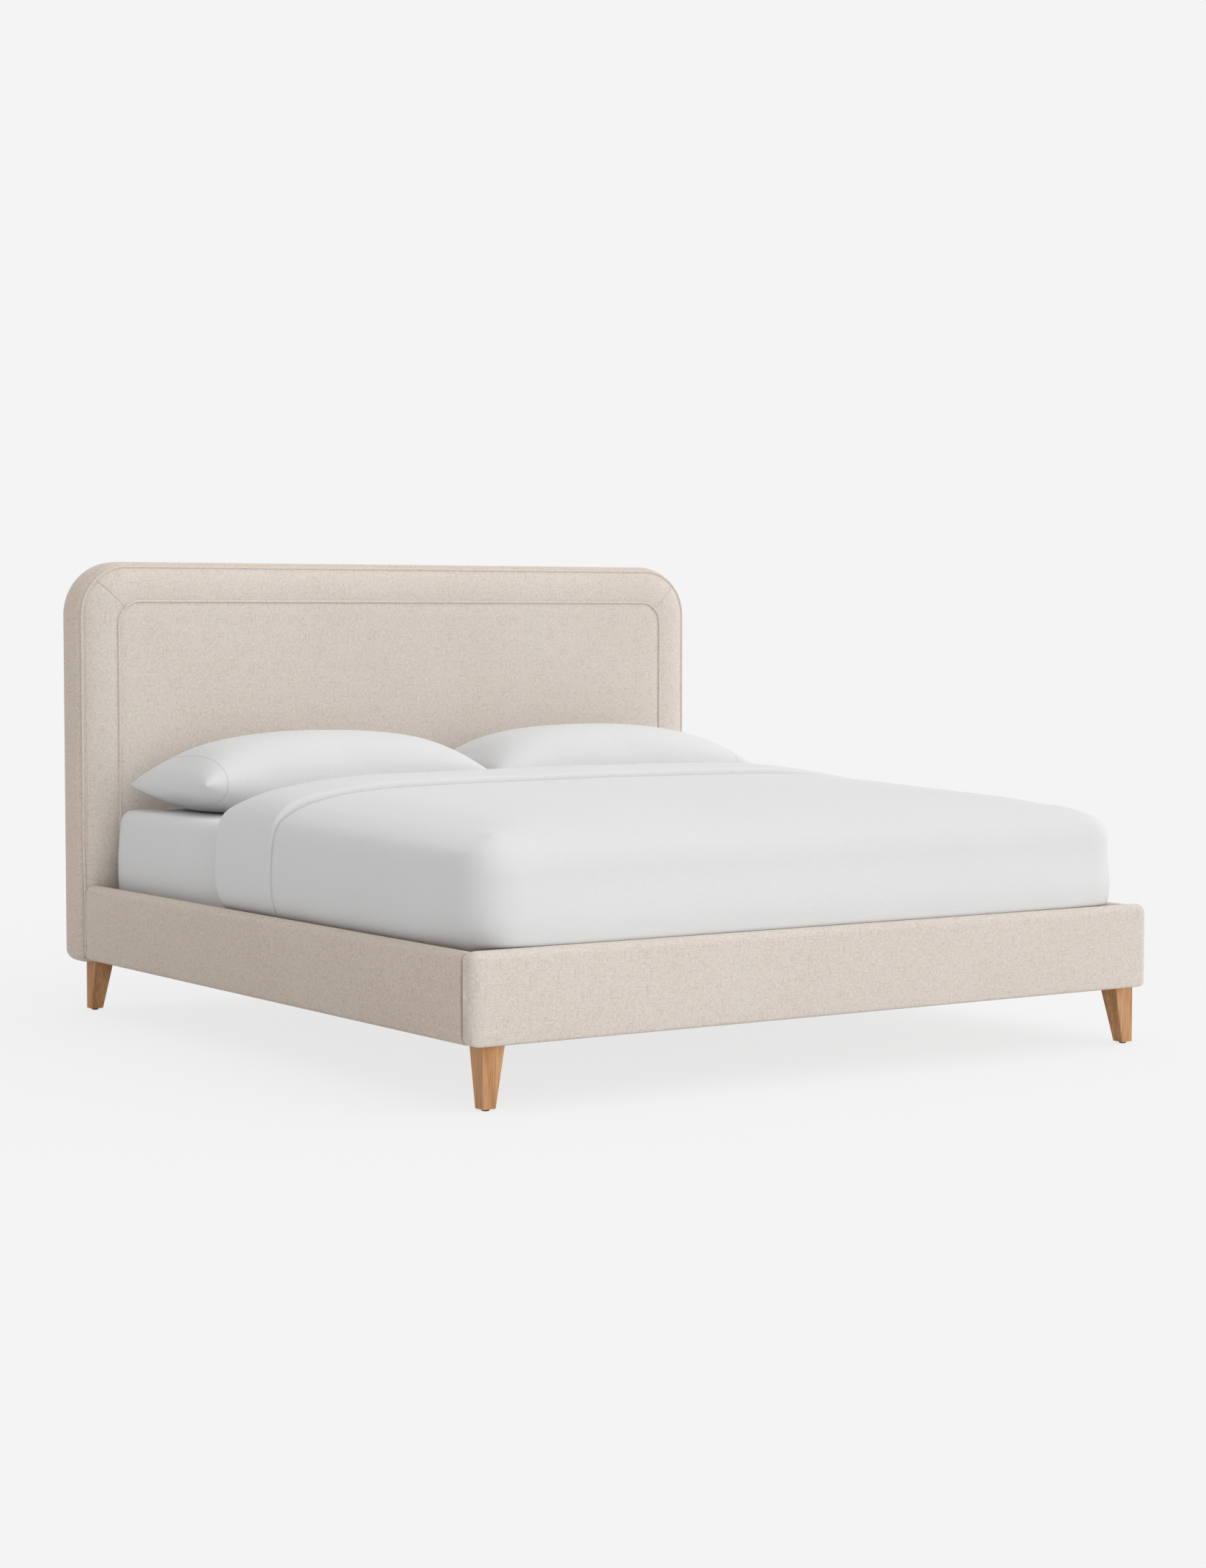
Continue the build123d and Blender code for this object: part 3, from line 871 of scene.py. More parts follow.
def piping(
    name: str, path: np.ndarray, radius: float, finish: Finish, closed: bool = False
) -> Piece:
    """Run a round cord along a path.

    Args:
        name: The piece's name.
        path: The points of the path.
        radius: The cord's radius.
        finish: The cord's finish.
        closed: Whether the path joins up.

    Returns:
        The object.
    """
    mesh = bpy.data.meshes.new(name)
    links = [(i, i + 1) for i in range(len(path) - 1)]
    if closed:
        links.append((len(path) - 1, 0))
    mesh.from_pydata(path.tolist(), links, [])
    tree = Tree(f"{name}_tree")
    nodes = tree.nodes
    size = tree.value("Radius", "NodeSocketFloat", radius)
    step = tree.value("Step", "NodeSocketFloat", PIPING_STEP)
    line = nodes.add("GeometryNodeMeshToCurve", {0: tree.entry.outputs[0]}).outputs[0]
    spaced = {"Curve": line, "Length": step}
    even = nodes.add("GeometryNodeResampleCurve", spaced, mode="LENGTH").outputs[0]
    round_size = {"Resolution": PIPING_SIDES, "Radius": size}
    ring = nodes.add("GeometryNodeCurvePrimitiveCircle", round_size).outputs[0]
    swept = {"Curve": even, "Profile Curve": ring, "Fill Caps": True}
    tube = nodes.add("GeometryNodeCurveToMesh", swept).outputs[0]
    tree.end(tube, finish)
    return tree.run(link_piece(name, mesh))


@dataclass
class Scatter:
    """Small fasteners, each on a point with a facing and a direction."""

    kind: Fastener
    length: float
    width: float
    height: float
    finish: Finish
    rim_share: float = 0.5
    crown_share: float = 0.32
    spots: list[np.ndarray] = field(default_factory=list)
    faces: list[np.ndarray] = field(default_factory=list)
    runs: list[np.ndarray] = field(default_factory=list)

    def put(self, spots: np.ndarray, facing: object, along: object) -> None:
        """Add points.

        Args:
            spots: The points.
            facing: The way out of the surface, one for all or one for each.
            along: The way that the piece lies.
        """
        spots = np.atleast_2d(np.array(spots, float))
        self.spots.append(spots)
        self.faces.append(np.broadcast_to(np.array(facing, float), spots.shape))
        self.runs.append(np.broadcast_to(np.array(along, float), spots.shape))

    def shape(self, tree: Tree) -> Socket:
        """The form of one fastener inside the tree.

        Args:
            tree: The tree that it goes into.

        Returns:
            Its geometry.
        """
        length = tree.value("Length", "NodeSocketFloat", self.length)
        width = tree.value("Width", "NodeSocketFloat", self.width)
        height = tree.value("Height", "NodeSocketFloat", self.height)
        nodes = tree.nodes
        size = nodes.add("ShaderNodeCombineXYZ", {0: length, 1: width, 2: height}).outputs[0]
        if self.kind is Fastener.STAPLE:
            return nodes.add("GeometryNodeMeshCube", {"Size": size}).outputs[0]
        rim = nodes.maths("MULTIPLY", length, self.rim_share)
        crown = nodes.maths("MULTIPLY", length, self.crown_share)
        inputs = {"Vertices": 12, "Radius Top": crown, "Radius Bottom": rim, "Depth": height}
        return nodes.add("GeometryNodeMeshCone", inputs).outputs[0]

    def build(self, name: str) -> Piece:
        """Set the fasteners on their points.

        Args:
            name: The piece's name.

        Returns:
            The object.
        """
        points = np.vstack(self.spots)
        mesh = bpy.data.meshes.new(name)
        mesh.from_pydata(points.tolist(), [], [])
        for label, rows in (("facing", self.faces), ("along", self.runs)):
            layer = mesh.attributes.new(label, "FLOAT_VECTOR", "POINT")
            layer.data.foreach_set("vector", np.vstack(rows).astype(np.float32).ravel())
        tree = Tree(f"{name}_tree")
        nodes = tree.nodes
        read, align = "GeometryNodeInputNamedAttribute", "FunctionNodeAlignRotationToVector"
        named = {"data_type": "FLOAT_VECTOR"}
        facing = nodes.add(read, {0: "facing"}, **named).outputs[0]
        along = nodes.add(read, {0: "along"}, **named).outputs[0]
        up = nodes.add(align, {"Vector": facing}, axis="Z").outputs[0]
        lie = {"Rotation": up, "Vector": along}
        turned = nodes.add(align, lie, axis="X", pivot_axis="Z").outputs[0]
        inputs = {"Points": tree.entry.outputs[0], "Instance": self.shape(tree), "Rotation": turned}
        set_out = nodes.add("GeometryNodeInstanceOnPoints", inputs).outputs[0]
        tree.end(set_out, self.finish)
        return tree.run(link_piece(name, mesh))


def dress(piece: Piece, finish: Finish) -> None:
    """Give a piece its finish.

    Args:
        piece: The piece.
        finish: Its finish.
    """
    piece.data.materials.clear()
    piece.data.materials.append(finish.material())


def place(piece: Piece, body: str, finish: Finish, *nodes: str) -> None:
    """Dress a piece, set it on its body and let it stand for its solids.

    Args:
        piece: The finished piece.
        body: The body that it moves with.
        finish: Its finish.
        nodes: The solids that it stands for.
    """
    dress(piece, finish)
    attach(piece, body)
    if nodes:
        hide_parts(*nodes)
    LOG.info("%s on %s: %d faces", piece.name, body, len(piece.data.polygons))


@dataclass
class Arch:
    """An upright outline with rounded top corners and, if it has them, small bottom ones."""

    half_width: float
    top: float
    corner: float
    bottom: float
    foot: float = 0.0
    tuck: float = 0.0

    def path(self, grow: float = 0.0) -> np.ndarray:
        """The outline from its lower left end over the top to its lower right end.

        Args:
            grow: How far outside the outline the path runs.

        Returns:
            Points of X and Z, always the same number of them.
        """
        w, r = self.half_width, self.corner
        low = self.bottom + self.foot
        half = []
        if self.foot:
            inner, base = w - self.foot, self.bottom - grow
            half.append(np.linspace((inner - self.tuck, base), (inner, base), 4)[:-1])
            half.append(arc((inner, low), self.foot + grow, -90, 0, 7)[:-1])
        half.append(np.linspace((w + grow, low), (w + grow, self.top - r), 56)[:-1])
        half.append(arc((w - r, self.top - r), r + grow, 0, 90, 23)[:-1])
        half.append(np.linspace((w - r, self.top + grow), (0.0, self.top + grow), 48))
        right = np.vstack(half)
        left = right[:-1] * (-1.0, 1.0)
        return np.vstack([left, right[::-1]])

    def standing(self, y: float | np.ndarray, grow: float = 0.0) -> np.ndarray:
        """The outline as points in space, at one depth or at one for each point."""
        x, z = self.path(grow).T
        return spots_at(x, y, z)

    def bend(self, start: float, end: float) -> np.ndarray:
        """Points of X and Z round the right top corner, between two angles in degrees."""
        middle = (self.half_width - self.corner, self.top - self.corner)
        return arc(middle, self.corner, start, end, 16)

    def net(self, low: np.ndarray, corner_rows: int) -> tuple[np.ndarray, np.ndarray]:
        """Rows and columns that fill the outline, closer together round its corners.

        Args:
            low: The heights of the lowest rows.
            corner_rows: How many rows the corners have.

        Returns:
            The X and the Z of the points.
        """
        spring = self.top - self.corner
        rise = spring + self.corner * np.sin(np.linspace(0, np.pi / 2, corner_rows))
        rise = np.concatenate([low, np.linspace(low[-1], spring, 40)[1:], rise[1:]])
        t = np.sin(np.linspace(-np.pi / 2, np.pi / 2, 96))
        return self.half_at(rise)[:, None] * t, np.repeat(rise[:, None], len(t), axis=1)

    def half_at(self, z: np.ndarray) -> np.ndarray:
        """Half the outline's width at given heights.

        Args:
            z: The heights.

        Returns:
            The half widths.
        """
        rise = np.clip(z - (self.top - self.corner), 0.0, self.corner)
        inner = self.half_width - self.corner + np.sqrt(self.corner**2 - rise**2)
        return np.where(z > self.top - self.corner, inner, self.half_width)

    def depth(self, x: np.ndarray, z: np.ndarray) -> np.ndarray:
        """How far inside the sides and the top points are.

        Args:
            x: The points' X.
            z: The points' Z.

        Returns:
            The distance to the outline.
        """
        over = np.abs(x) - (self.half_width - self.corner)
        rise = z - (self.top - self.corner)
        straight = np.minimum(self.half_width - np.abs(x), self.top - z)
        bend = self.corner - np.hypot(over, rise)
        return np.where((over > 0) & (rise > 0), bend, straight)


def pillowed(depth: np.ndarray, reach: float) -> np.ndarray:
    """How full padded cloth is at a distance from its seam, from 0 to 1."""
    return 1.0 - (1.0 - np.clip(depth / reach, 0.0, 1.0)) ** 2.6


@dataclass
class Headboard:
    """The bordered headboard: centre panel, border, piping, side band and back."""

    face: float = 0.978
    back: float = 1.106
    bottom: float = 0.149
    sink: float = 0.0024
    border_puff: float = 0.0018
    centre_puff: float = 0.0012
    centre_wave: float = 0.0005
    proud: float = 0.010
    set_back: float = 0.0145
    roll: float = 0.030
    crown: float = 0.0145
    groove: float = 0.0038
    cord_radius: float = 0.0040
    cord_sink: float = 0.0006
    cloth: float = 0.0016
    edge_roll: float = 0.008
    turn_under: float = 0.013
    hidden: Pair = (0.30, 0.48)
    hidden_share: float = 0.4
    centre_reach: float = 0.04
    border_reach: float = 0.045
    mitre_reach: float = 0.006
    mitre_full: float = 0.94
    groove_reach: float = 0.0045
    gather: float = 0.0007
    gather_pitch: float = 0.0085
    gather_spot: Pair = (0.985, 1.215)
    gather_reach: float = 0.05
    band_inset: float = 0.003
    band_front: tuple[Pair, Pair] = ((-0.006, -0.001), (-0.004, 0.0005))
    band_back: tuple[Pair, Pair] = ((-0.003, -0.0012), (-0.016, -0.001))
    backing: float = 0.0009
    back_lift: float = 0.0002
    back_sag: float = 0.0006
    back_wave: float = 0.0005
    back_pull: float = 0.0003
    pull_pitch: float = 0.0095
    staple_height: float = 0.0012
    staple_counts: tuple[int, int] = (92, 40)
    outer: Arch = field(default_factory=lambda: Arch(1.0245, 1.2515, 0.1365, 0.153, 0.020, 0.05))
    inner: Arch = field(default_factory=lambda: Arch(0.923, 1.155, 0.065, 0.149))
    behind: Arch = field(default_factory=lambda: Arch(1.018, 1.244, 0.129, 0.153))
    stapled: Arch = field(default_factory=lambda: Arch(1.010, 1.236, 0.121, 0.163))
    foam_ring: Line = (
        (-0.016, 1.001), (-0.003, 1.001), (0.002, 1.007), (0.006, 1.016), (0.009, 1.032),
        (0.0105, 1.050), (0.0075, 1.078), (0.005, 1.090), (0.000, 1.096), (-0.016, 1.096),
        (-0.016, 1.001),
    )

    def lower_edge(self) -> np.ndarray:
        """The rows where a cover turns under the headboard.

        Returns:
            Their heights and depths.
        """
        turn = np.radians(np.linspace(90, 0, 5))
        z = self.bottom + self.edge_roll * (1 - np.sin(turn))
        y = self.edge_roll * (1 - np.cos(turn))
        under = [(self.bottom, self.edge_roll + self.turn_under)]
        return np.vstack([under, np.stack([z, y], axis=1)])

    def front(self, x: np.ndarray, z: np.ndarray) -> np.ndarray:
        """The padded front's Y: proud in the middle, rolling back to the outer piping.

        Args:
            x: The points' X.
            z: The points' Z.

        Returns:
            The front's Y before its seams draw it in.
        """
        near = np.exp(-np.maximum(self.outer.depth(x, z), 0.0) / self.roll)
        above = ease(z, *self.hidden)
        back = self.set_back * (self.hidden_share + (1.0 - self.hidden_share) * above)
        return self.face + back * near - self.proud * above * (1.0 - near)

    def centre(self) -> None:
        """The smooth centre panel, drawn in along the inner piping."""
        low = self.lower_edge()
        x, z = self.inner.net(low[:, 0], 22)
        tuck = np.concatenate([low[:, 1], np.zeros(len(x) - len(low))])
        full = pillowed(self.inner.depth(x, z), self.centre_reach)
        y = self.front(x, z) + self.sink - (self.sink + self.centre_puff) * full + tuck[:, None]
        points = spots_at(x, y, z)
        points[..., 1] += self.centre_wave * ripple(points, 0.35, 3.1) * full
        piece = lattice_piece("headboard_centre_panel", points, points[..., [0, 2]])
        thicken(piece, self.cloth)
        place(piece, "frame", LINEN, "headboard_centre_cover")

    def strip(
        self, name: str, inner: np.ndarray, outer: np.ndarray, low_end: bool, high_end: bool
    ) -> None:
        """One strip of the border between two lines of equal count.

        Args:
            name: The piece's name.
            inner: X and Z along the inner piping.
            outer: X and Z along the outer piping.
            low_end: Whether the strip starts at a mitre.
            high_end: Whether the strip ends at a mitre.
        """
        t = 0.5 - 0.5 * np.cos(np.linspace(0, np.pi, 17))
        flat = inner[:, None, :] + (outer - inner)[:, None, :] * t[None, :, None]
        width = np.linalg.norm(outer - inner, axis=1)[:, None]
        edge = np.minimum(t, 1 - t)[None, :] * width
        reach = run_length((inner + outer) / 2)
        ends = np.full(len(reach), 1.0)
        if low_end:
            ends = np.minimum(ends, reach)
        if high_end:
            ends = np.minimum(ends, reach[-1] - reach)
        mitre = self.mitre_full + (1.0 - self.mitre_full) * pillowed(ends, self.mitre_reach)
        full = pillowed(edge, self.border_reach) * mitre[:, None]
        x, z = flat[..., 0], flat[..., 1]
        y = self.front(x, z) + self.sink - (self.sink + self.border_puff) * full
        points = spots_at(x, y, z)
        if not low_end:
            points = self.turned_under(points)
        flip = np.cross(outer[5] - inner[5], inner[6] - inner[5]) < 0
        piece = lattice_piece(name, points, points[..., [0, 2]], flip)
        thicken(piece, self.cloth)
        place(piece, "frame", LINEN, "headboard_border_cover")

    def turned_under(self, points: np.ndarray) -> np.ndarray:
        """Add rows that take a strip's lower end under the headboard.

        Args:
            points: Rows and columns of the strip's points.

        Returns:
            The points with the new rows before them.
        """
        low = self.lower_edge()[:-1]
        rows = np.repeat(points[:1], len(low), axis=0)
        rows[..., 2] = low[:, :1]
        rows[..., 1] = points[0, :, 1][None, :] + low[:, 1:]
        start = points.copy()
        start[0, :, 2] = self.bottom + self.edge_roll
        return np.concatenate([rows, start])

    def border(self) -> None:
        """The three strips of the border, mitred at the two top corners."""
        for side in Side:
            lines = []
            for arch in (self.inner, self.outer):
                low = (arch.half_width, self.bottom + self.edge_roll)
                upright = np.linspace(low, (arch.half_width, arch.top - arch.corner), 48)[:-1]
                lines.append(np.vstack([upright, arch.bend(0, 45)]) * (side.value, 1.0))
            self.strip(f"headboard_border_{side.word}", *lines, low_end=False, high_end=True)
        lines = []
        for arch in (self.inner, self.outer):
            start = (arch.half_width - arch.corner, arch.top)
            half = np.vstack([arch.bend(45, 90), np.linspace(start, (0.0, arch.top), 48)[1:]])
            lines.append(np.vstack([half, half[::-1][1:] * (-1.0, 1.0)]))
        self.strip("headboard_border_top", *lines, low_end=True, high_end=True)

    def cords(self) -> None:
        """The outer and the inner piping."""
        for word, arch in (("outer", self.outer), ("inner", self.inner)):
            path = arch.standing(self.front(*arch.path().T) + self.cord_sink)
            piece = piping(f"{word}_piping", path, self.cord_radius, PIPING_LINEN)
            place(piece, "frame", PIPING_LINEN, f"headboard_{word}_welt")

    def side_band(self) -> None:
        """The swelling band round the headboard's edge, turned in at the back."""
        t = 0.5 - 0.5 * np.cos(np.linspace(0.0, np.pi, 26))
        front = self.face + self.set_back + self.band_inset
        rear = self.back - self.band_inset
        aside = np.abs(2 * t - 1)
        swell = self.crown * np.where(t < 0.5, (1 - aside**4) ** 0.8, np.sqrt(1 - aside**5))
        swell -= self.groove * np.exp(-t * (rear - front) / self.groove_reach)
        section = np.stack([swell, front + (rear - front) * t], axis=1)
        tucked = np.array(self.band_front) + (0.0, front)
        turned = np.array(self.band_back) + (0.0, self.back)
        section = np.vstack([tucked, section[1:], turned])
        points = np.array([self.outer.standing(y, grow) for grow, y in section])
        along = run_length(self.outer.path())
        seams = ease(np.abs(np.linspace(-1, 1, len(points)))[:, None], 0.55, 0.95)
        away_x = (np.abs(points[..., 0]) - self.gather_spot[0]) / self.gather_reach
        away_z = (points[..., 2] - self.gather_spot[1]) / self.gather_reach
        corner = np.exp(-(away_x**2 + away_z**2))
        pull = self.gather * np.sin(along / self.gather_pitch)[None, :] * seams * corner
        points[..., 0] += np.sign(points[..., 0]) * pull
        points[..., 2] += pull
        across = run_length(section)
        cloth = np.stack(np.broadcast_arrays(along[None, :], across[:, None]), axis=-1)
        piece = lattice_piece("headboard_side_band", points, cloth)
        thicken(piece, self.cloth)
        # the side band gets the linen with painted shade
        place(piece, "frame", SHADED_LINEN, "headboard_boxing")

    def rear(self, staples: Scatter) -> None:
        """The backing cloth, pulled flat and stapled all round.

        Args:
            staples: Where the staples are noted.
        """
        arch = self.behind
        x, z = arch.net(arch.bottom + 0.02 * (1 - np.cos(np.linspace(0, np.pi / 2, 5))), 24)
        depth = np.minimum(arch.depth(x, z), z - arch.bottom)
        y = self.back + self.back_lift - self.back_sag * ease(depth, 0.012, 0.12)
        points = spots_at(x, y, z)
        pull = np.sin(x / self.pull_pitch) * ease(0.05 - np.abs(depth - 0.02), 0.0, 0.05)
        wave = self.back_wave * (1.0 + ripple(points, 0.25, 8.4))
        points[..., 1] += self.back_pull * pull + wave
        piece = lattice_piece("headboard_back_cloth", points, points[..., [0, 2]], flip=True)
        thicken(piece, self.backing)
        place(piece, "frame", BACKING, "headboard_back_cover")
        over, under = self.staple_counts
        y = self.back + self.staple_height
        line = divide(self.stapled.path(), over)
        run = np.gradient(line, axis=0)
        along = spots_at(run[:, 0], 0, run[:, 1])
        staples.put(spots_at(line[:, 0], y, line[:, 1]), (0, 1, 0), along)
        lower = np.linspace(-0.96, 0.96, under)
        staples.put(spots_at(lower, y, self.stapled.bottom), (0, 1, 0), (1, 0, 0))

    def edge_foam(self) -> None:
        """The foam strip under the side band."""
        points = np.array([self.outer.standing(y, grow)[4:-4] for grow, y in self.foam_ring])
        rows, columns = points.shape[:2]
        faces = lattice_faces(rows, columns)
        faces.append(tuple(i * columns for i in range(rows - 1)))
        faces.append(tuple(i * columns + columns - 1 for i in range(rows - 2, -1, -1)))
        piece = new_piece("headboard_edge_foam", points, faces)
        merge_doubles(piece)
        place(piece, "frame", FOAM, "headboard_edge_pad")

    def build(self, staples: Scatter) -> None:
        """Make every piece of the headboard.

        Args:
            staples: Where the staples are noted.
        """
        self.centre()
        self.border()
        self.cords()
        self.edge_foam()
        self.side_band()
        self.rear(staples)


@dataclass
class PaddedBar:
    """A linen-covered bar: its section, and the cover that is open along the inside."""

    thickness: float = 0.040
    bottom: float = 0.149
    top: float = 0.362
    top_outer: float = 0.024
    top_inner: float = 0.014
    bottom_outer: float = 0.013
    bottom_inner: float = 0.012
    opening: Pair = (0.172, 0.300)
    cloth: float = 0.0016
    swell: float = 0.0015
    inner_roll: float = 0.25
    least_middle: float = 0.0004
    station_gap: float = 0.03
    wave: float = 0.0006
    wave_band: Pair = (0.02, 0.04)
    staple_pitch: float = 0.055
    staple_inset: float = 0.007
    staple_height: float = 0.0003

    def square_inside(self, out: np.ndarray, inset: float, depth: float) -> np.ndarray:
        """Keep a rolled end nearly square along its inner edge.

        Args:
            out: Distances from the inner face.
            inset: How far inside the full section the station runs.
            depth: The inset where the flat end starts.

        Returns:
            The distances, with those inside the middle spread back toward the inner face.
        """
        half = self.thickness / 2
        beyond = max(inset - depth, 0.0) / (half - depth)
        edge = self.inner_roll * min(inset, depth)
        edge += (half - edge) * beyond
        grow = (half - edge) / max(half - inset, 1e-9)
        return np.where(out < half, half - (half - out) * grow, out)

    def section(self, inset: float, shut: bool = False) -> np.ndarray:
        """The cover's line from its upper inside edge, over the top, to its lower inside edge.

        Args:
            inset: How far inside the full section it runs.
            shut: Whether the two inside edges meet.

        Returns:
            Points of distance from the inner face and height.
        """
        low, high = inset, self.thickness - inset
        foot, head = self.bottom + inset, self.top - inset
        corners = [
            ((low, head), self.top_inner, 180, 90, (1, -1), 8),
            ((high, head), self.top_outer, 90, 0, (-1, -1), 12),
            ((high, foot), self.bottom_outer, 0, -90, (-1, 1), 8),
            ((low, foot), self.bottom_inner, -90, -180, (1, 1), 8),
        ]
        lower, upper = (sum(self.opening) / 2,) * 2 if shut else self.opening
        line = [np.array([(low, upper), (low, upper + 0.02)])]
        for (d, z), radius, start, end, into, count in corners:
            r = max(min(radius, self.thickness / 2) - inset, 0.0)
            line.append(arc((d + into[0] * r, z + into[1] * r), r, start, end, count))
            if into == (-1, -1):
                line.append(np.linspace((high, head - r), (high, foot + 0.02), 14)[1:-1])
        line.append(np.array([(low, lower)]))
        points = np.vstack(line)
        middle, half = (self.bottom + self.top) / 2, (self.top - self.bottom) / 2
        bulge = self.swell * (1 - ((points[:, 1] - middle) / half) ** 2)
        points[:, 0] += bulge * ease(points[:, 0], 0.5 * self.thickness, self.thickness)
        return points

    def rounded(self, end: float, roll: float, inward: int) -> np.ndarray:
        """The stations of one rounded, closed end, from its middle out to the full section.

        Args:
            end: Where the bar ends.
            roll: The rounding of the end.
            inward: The way to the bar's middle, 1 or -1.

        Returns:
            Rows of distance along, inset, inset of the flat end, and place on the cloth.
        """
        half = self.thickness / 2
        depth = min(roll, half - self.least_middle)
        corner = end + inward * roll * (1 - math.pi / 2)
        flat = np.linspace(half, depth, 6)[:-1]
        cap = [(end, inset, depth, corner - inward * (inset - depth)) for inset in flat]
        bend = []
        for turn in np.radians(np.linspace(0, 90, 9)):
            along = end + inward * roll * (1 - math.cos(turn))
            bend.append((along, depth * (1 - math.sin(turn)), depth, corner + inward * roll * turn))
        return np.array(cap + bend)

    def sweep(self, span: Pair, rolls: Pair) -> tuple[np.ndarray, np.ndarray]:
        """Carry the section along a span, with rounded closed ends.

        Args:
            span: Where the bar starts and ends.
            rolls: The rounding at the two ends.

        Returns:
            Stations of distance along, distance out and height, and their places on the flat cloth.
        """
        first, last = span[0] + rolls[0], span[1] - rolls[1]
        count = max(int((last - first) / self.station_gap), 2)
        middle = [(along, 0.0, 0.0, along) for along in np.linspace(first, last, count)[1:-1]]
        start = self.rounded(span[0], rolls[0], 1)
        end = self.rounded(span[1], rolls[1], -1)[::-1]
        full = run_length(self.section(0.0))
        rows, cloth = [], []
        for along, inset, depth, on_cloth in np.vstack([start, middle, end]):
            line = self.section(inset, shut=depth > 0.0)
            line[:, 0] = self.square_inside(line[:, 0], inset, depth)
            rows.append(np.column_stack([np.full(len(line), along), line]))
            cloth.append(np.column_stack([np.full(len(line), on_cloth), full]))
        return np.array(rows), np.array(cloth)

    def staple_lines(self) -> Pair:
        """The heights of the two lines of staples beside the cover's open inside."""
        return self.opening[1] + self.staple_inset, self.opening[0] - self.staple_inset


@dataclass
class SideRail(PaddedBar):
    """One upholstered side rail."""

    side: Side = Side.LEFT
    top: float = 0.3595
    inner_x: float = 0.990
    foot_end: float = -1.0648
    head_end: float = 0.9785
    thickness: float = 0.0395
    rolls: Pair = (0.004, 0.014)
    notch: float = 0.010
    notch_reach: float = 0.03
    notch_band: Pair = (0.0290, 0.0325)

    def build(self, staples: Scatter) -> None:
        """Make the rail's cover and note its staples.

        Args:
            staples: Where the staples are noted.
        """
        bar, cloth = self.sweep((self.foot_end, self.head_end), self.rolls)
        way, out = self.side.value, bar[..., 1]
        points = spots_at(way * (self.inner_x + out), bar[..., 0], bar[..., 2])
        at_foot = 1.0 - ease(bar[..., 0], self.foot_end, self.foot_end + self.notch_reach)
        points[..., 1] += self.notch * at_foot * ease(out, *self.notch_band)
        wave = ripple(points, 0.22, 5.0 + way)
        points[..., 0] += way * self.wave * wave * ease(out, *self.wave_band)
        name = f"{self.side.word}_rail_linen"
        piece = lattice_piece(name, points, cloth, flip=self.side is Side.LEFT)
        merge_doubles(piece)
        thicken(piece, self.cloth)
        crisp(piece)
        # the rail gets the linen with painted shade
        place(piece, "frame", SHADED_LINEN, f"{self.side.word}_rail_cover")
        run = np.arange(self.foot_end + 0.05, self.head_end - 0.1, self.staple_pitch)
        for z in self.staple_lines():
            spots = spots_at(way * (self.inner_x - self.staple_height), run, z)
            staples.put(spots, (-way, 0, 0), (0, 1, 0))


@dataclass
class Footboard(PaddedBar):
    """The low upholstered footboard, which stands a little proud of the rails."""

    thickness: float = 0.0375
    bottom_outer: float = 0.007
    half_width: float = 1.0295
    inner_y: float = -1.066
    inner_roll: float = 0.15
    roll: float = 0.026
    stapled: Pair = (-0.96, 0.961)

    def build(self, staples: Scatter) -> None:
        """Make the footboard's cover and note its staples.

        Args:
            staples: Where the staples are noted.
        """
        bar, cloth = self.sweep((-self.half_width, self.half_width), (self.roll, self.roll))
        out = bar[..., 1]
        points = spots_at(bar[..., 0], self.inner_y - out, bar[..., 2])
        points[..., 1] -= self.wave * ripple(points, 0.24, 12.0) * ease(out, *self.wave_band)
        piece = lattice_piece("footboard_linen", points, cloth, flip=True)
        merge_doubles(piece)
        thicken(piece, self.cloth)
        crisp(piece)
        place(piece, "frame", LINEN, "footboard_cover")
        run = np.arange(*self.stapled, self.staple_pitch)
        for z in self.staple_lines():
            spots = spots_at(run, self.inner_y + self.staple_height, z)
            staples.put(spots, (0, 1, 0), (1, 0, 0))


@dataclass
class FoamPads:
    """The foam under the linen: cut blocks with softened edges."""

    pads: tuple[tuple[str, float, int, float], ...] = (
        ("headboard_front_pad", 0.009, 0, 0.0),
        ("left_rail_pad", 0.008, 1, 0.030),
        ("right_rail_pad", 0.008, 1, 0.030),
        ("footboard_pad", 0.005, 0, 0.010),
    )
    end_zone: float = 0.02
    rounding: float = 0.0008

    def cut_ends(self, piece: Piece, axis: int, length: float) -> None:
        """Cut a pad short at both ends.

        Args:
            piece: The pad.
            axis: The direction it runs in, 0 for X and 1 for Y.
            length: How much comes off each end.
        """
        places = np.empty(3 * len(piece.data.vertices))
        piece.data.vertices.foreach_get("co", places)
        spots = places.reshape(-1, 3)
        run = spots[:, axis].copy()
        spots[run < run.min() + self.end_zone, axis] += length
        spots[run > run.max() - self.end_zone, axis] -= length
        piece.data.vertices.foreach_set("co", places)

    def build(self) -> None:
        """Make each pad from its solid, drawn in under its cover with its sharp edges rounded."""
        for node, draw_in, axis, length in self.pads:
            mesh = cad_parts[node].data.copy()
            mesh.name = f"{node}_foam"
            piece = link_piece(f"{node}_foam", mesh)
            merge_doubles(piece, MERGE)
            squeeze = piece.modifiers.new("Drawn in", "DISPLACE")
            squeeze.mid_level = 0.0
            squeeze.strength = -draw_in
            round_off = piece.modifiers.new("Soft edges", "BEVEL")
            round_off.width = self.rounding
            round_off.segments = 2
            round_off.limit_method = "ANGLE"
            round_off.angle_limit = math.radians(50)
            settle_modifiers(piece)
            self.cut_ends(piece, axis, length)
            piece.data.shade_flat()
            place(piece, "frame", FOAM, node)


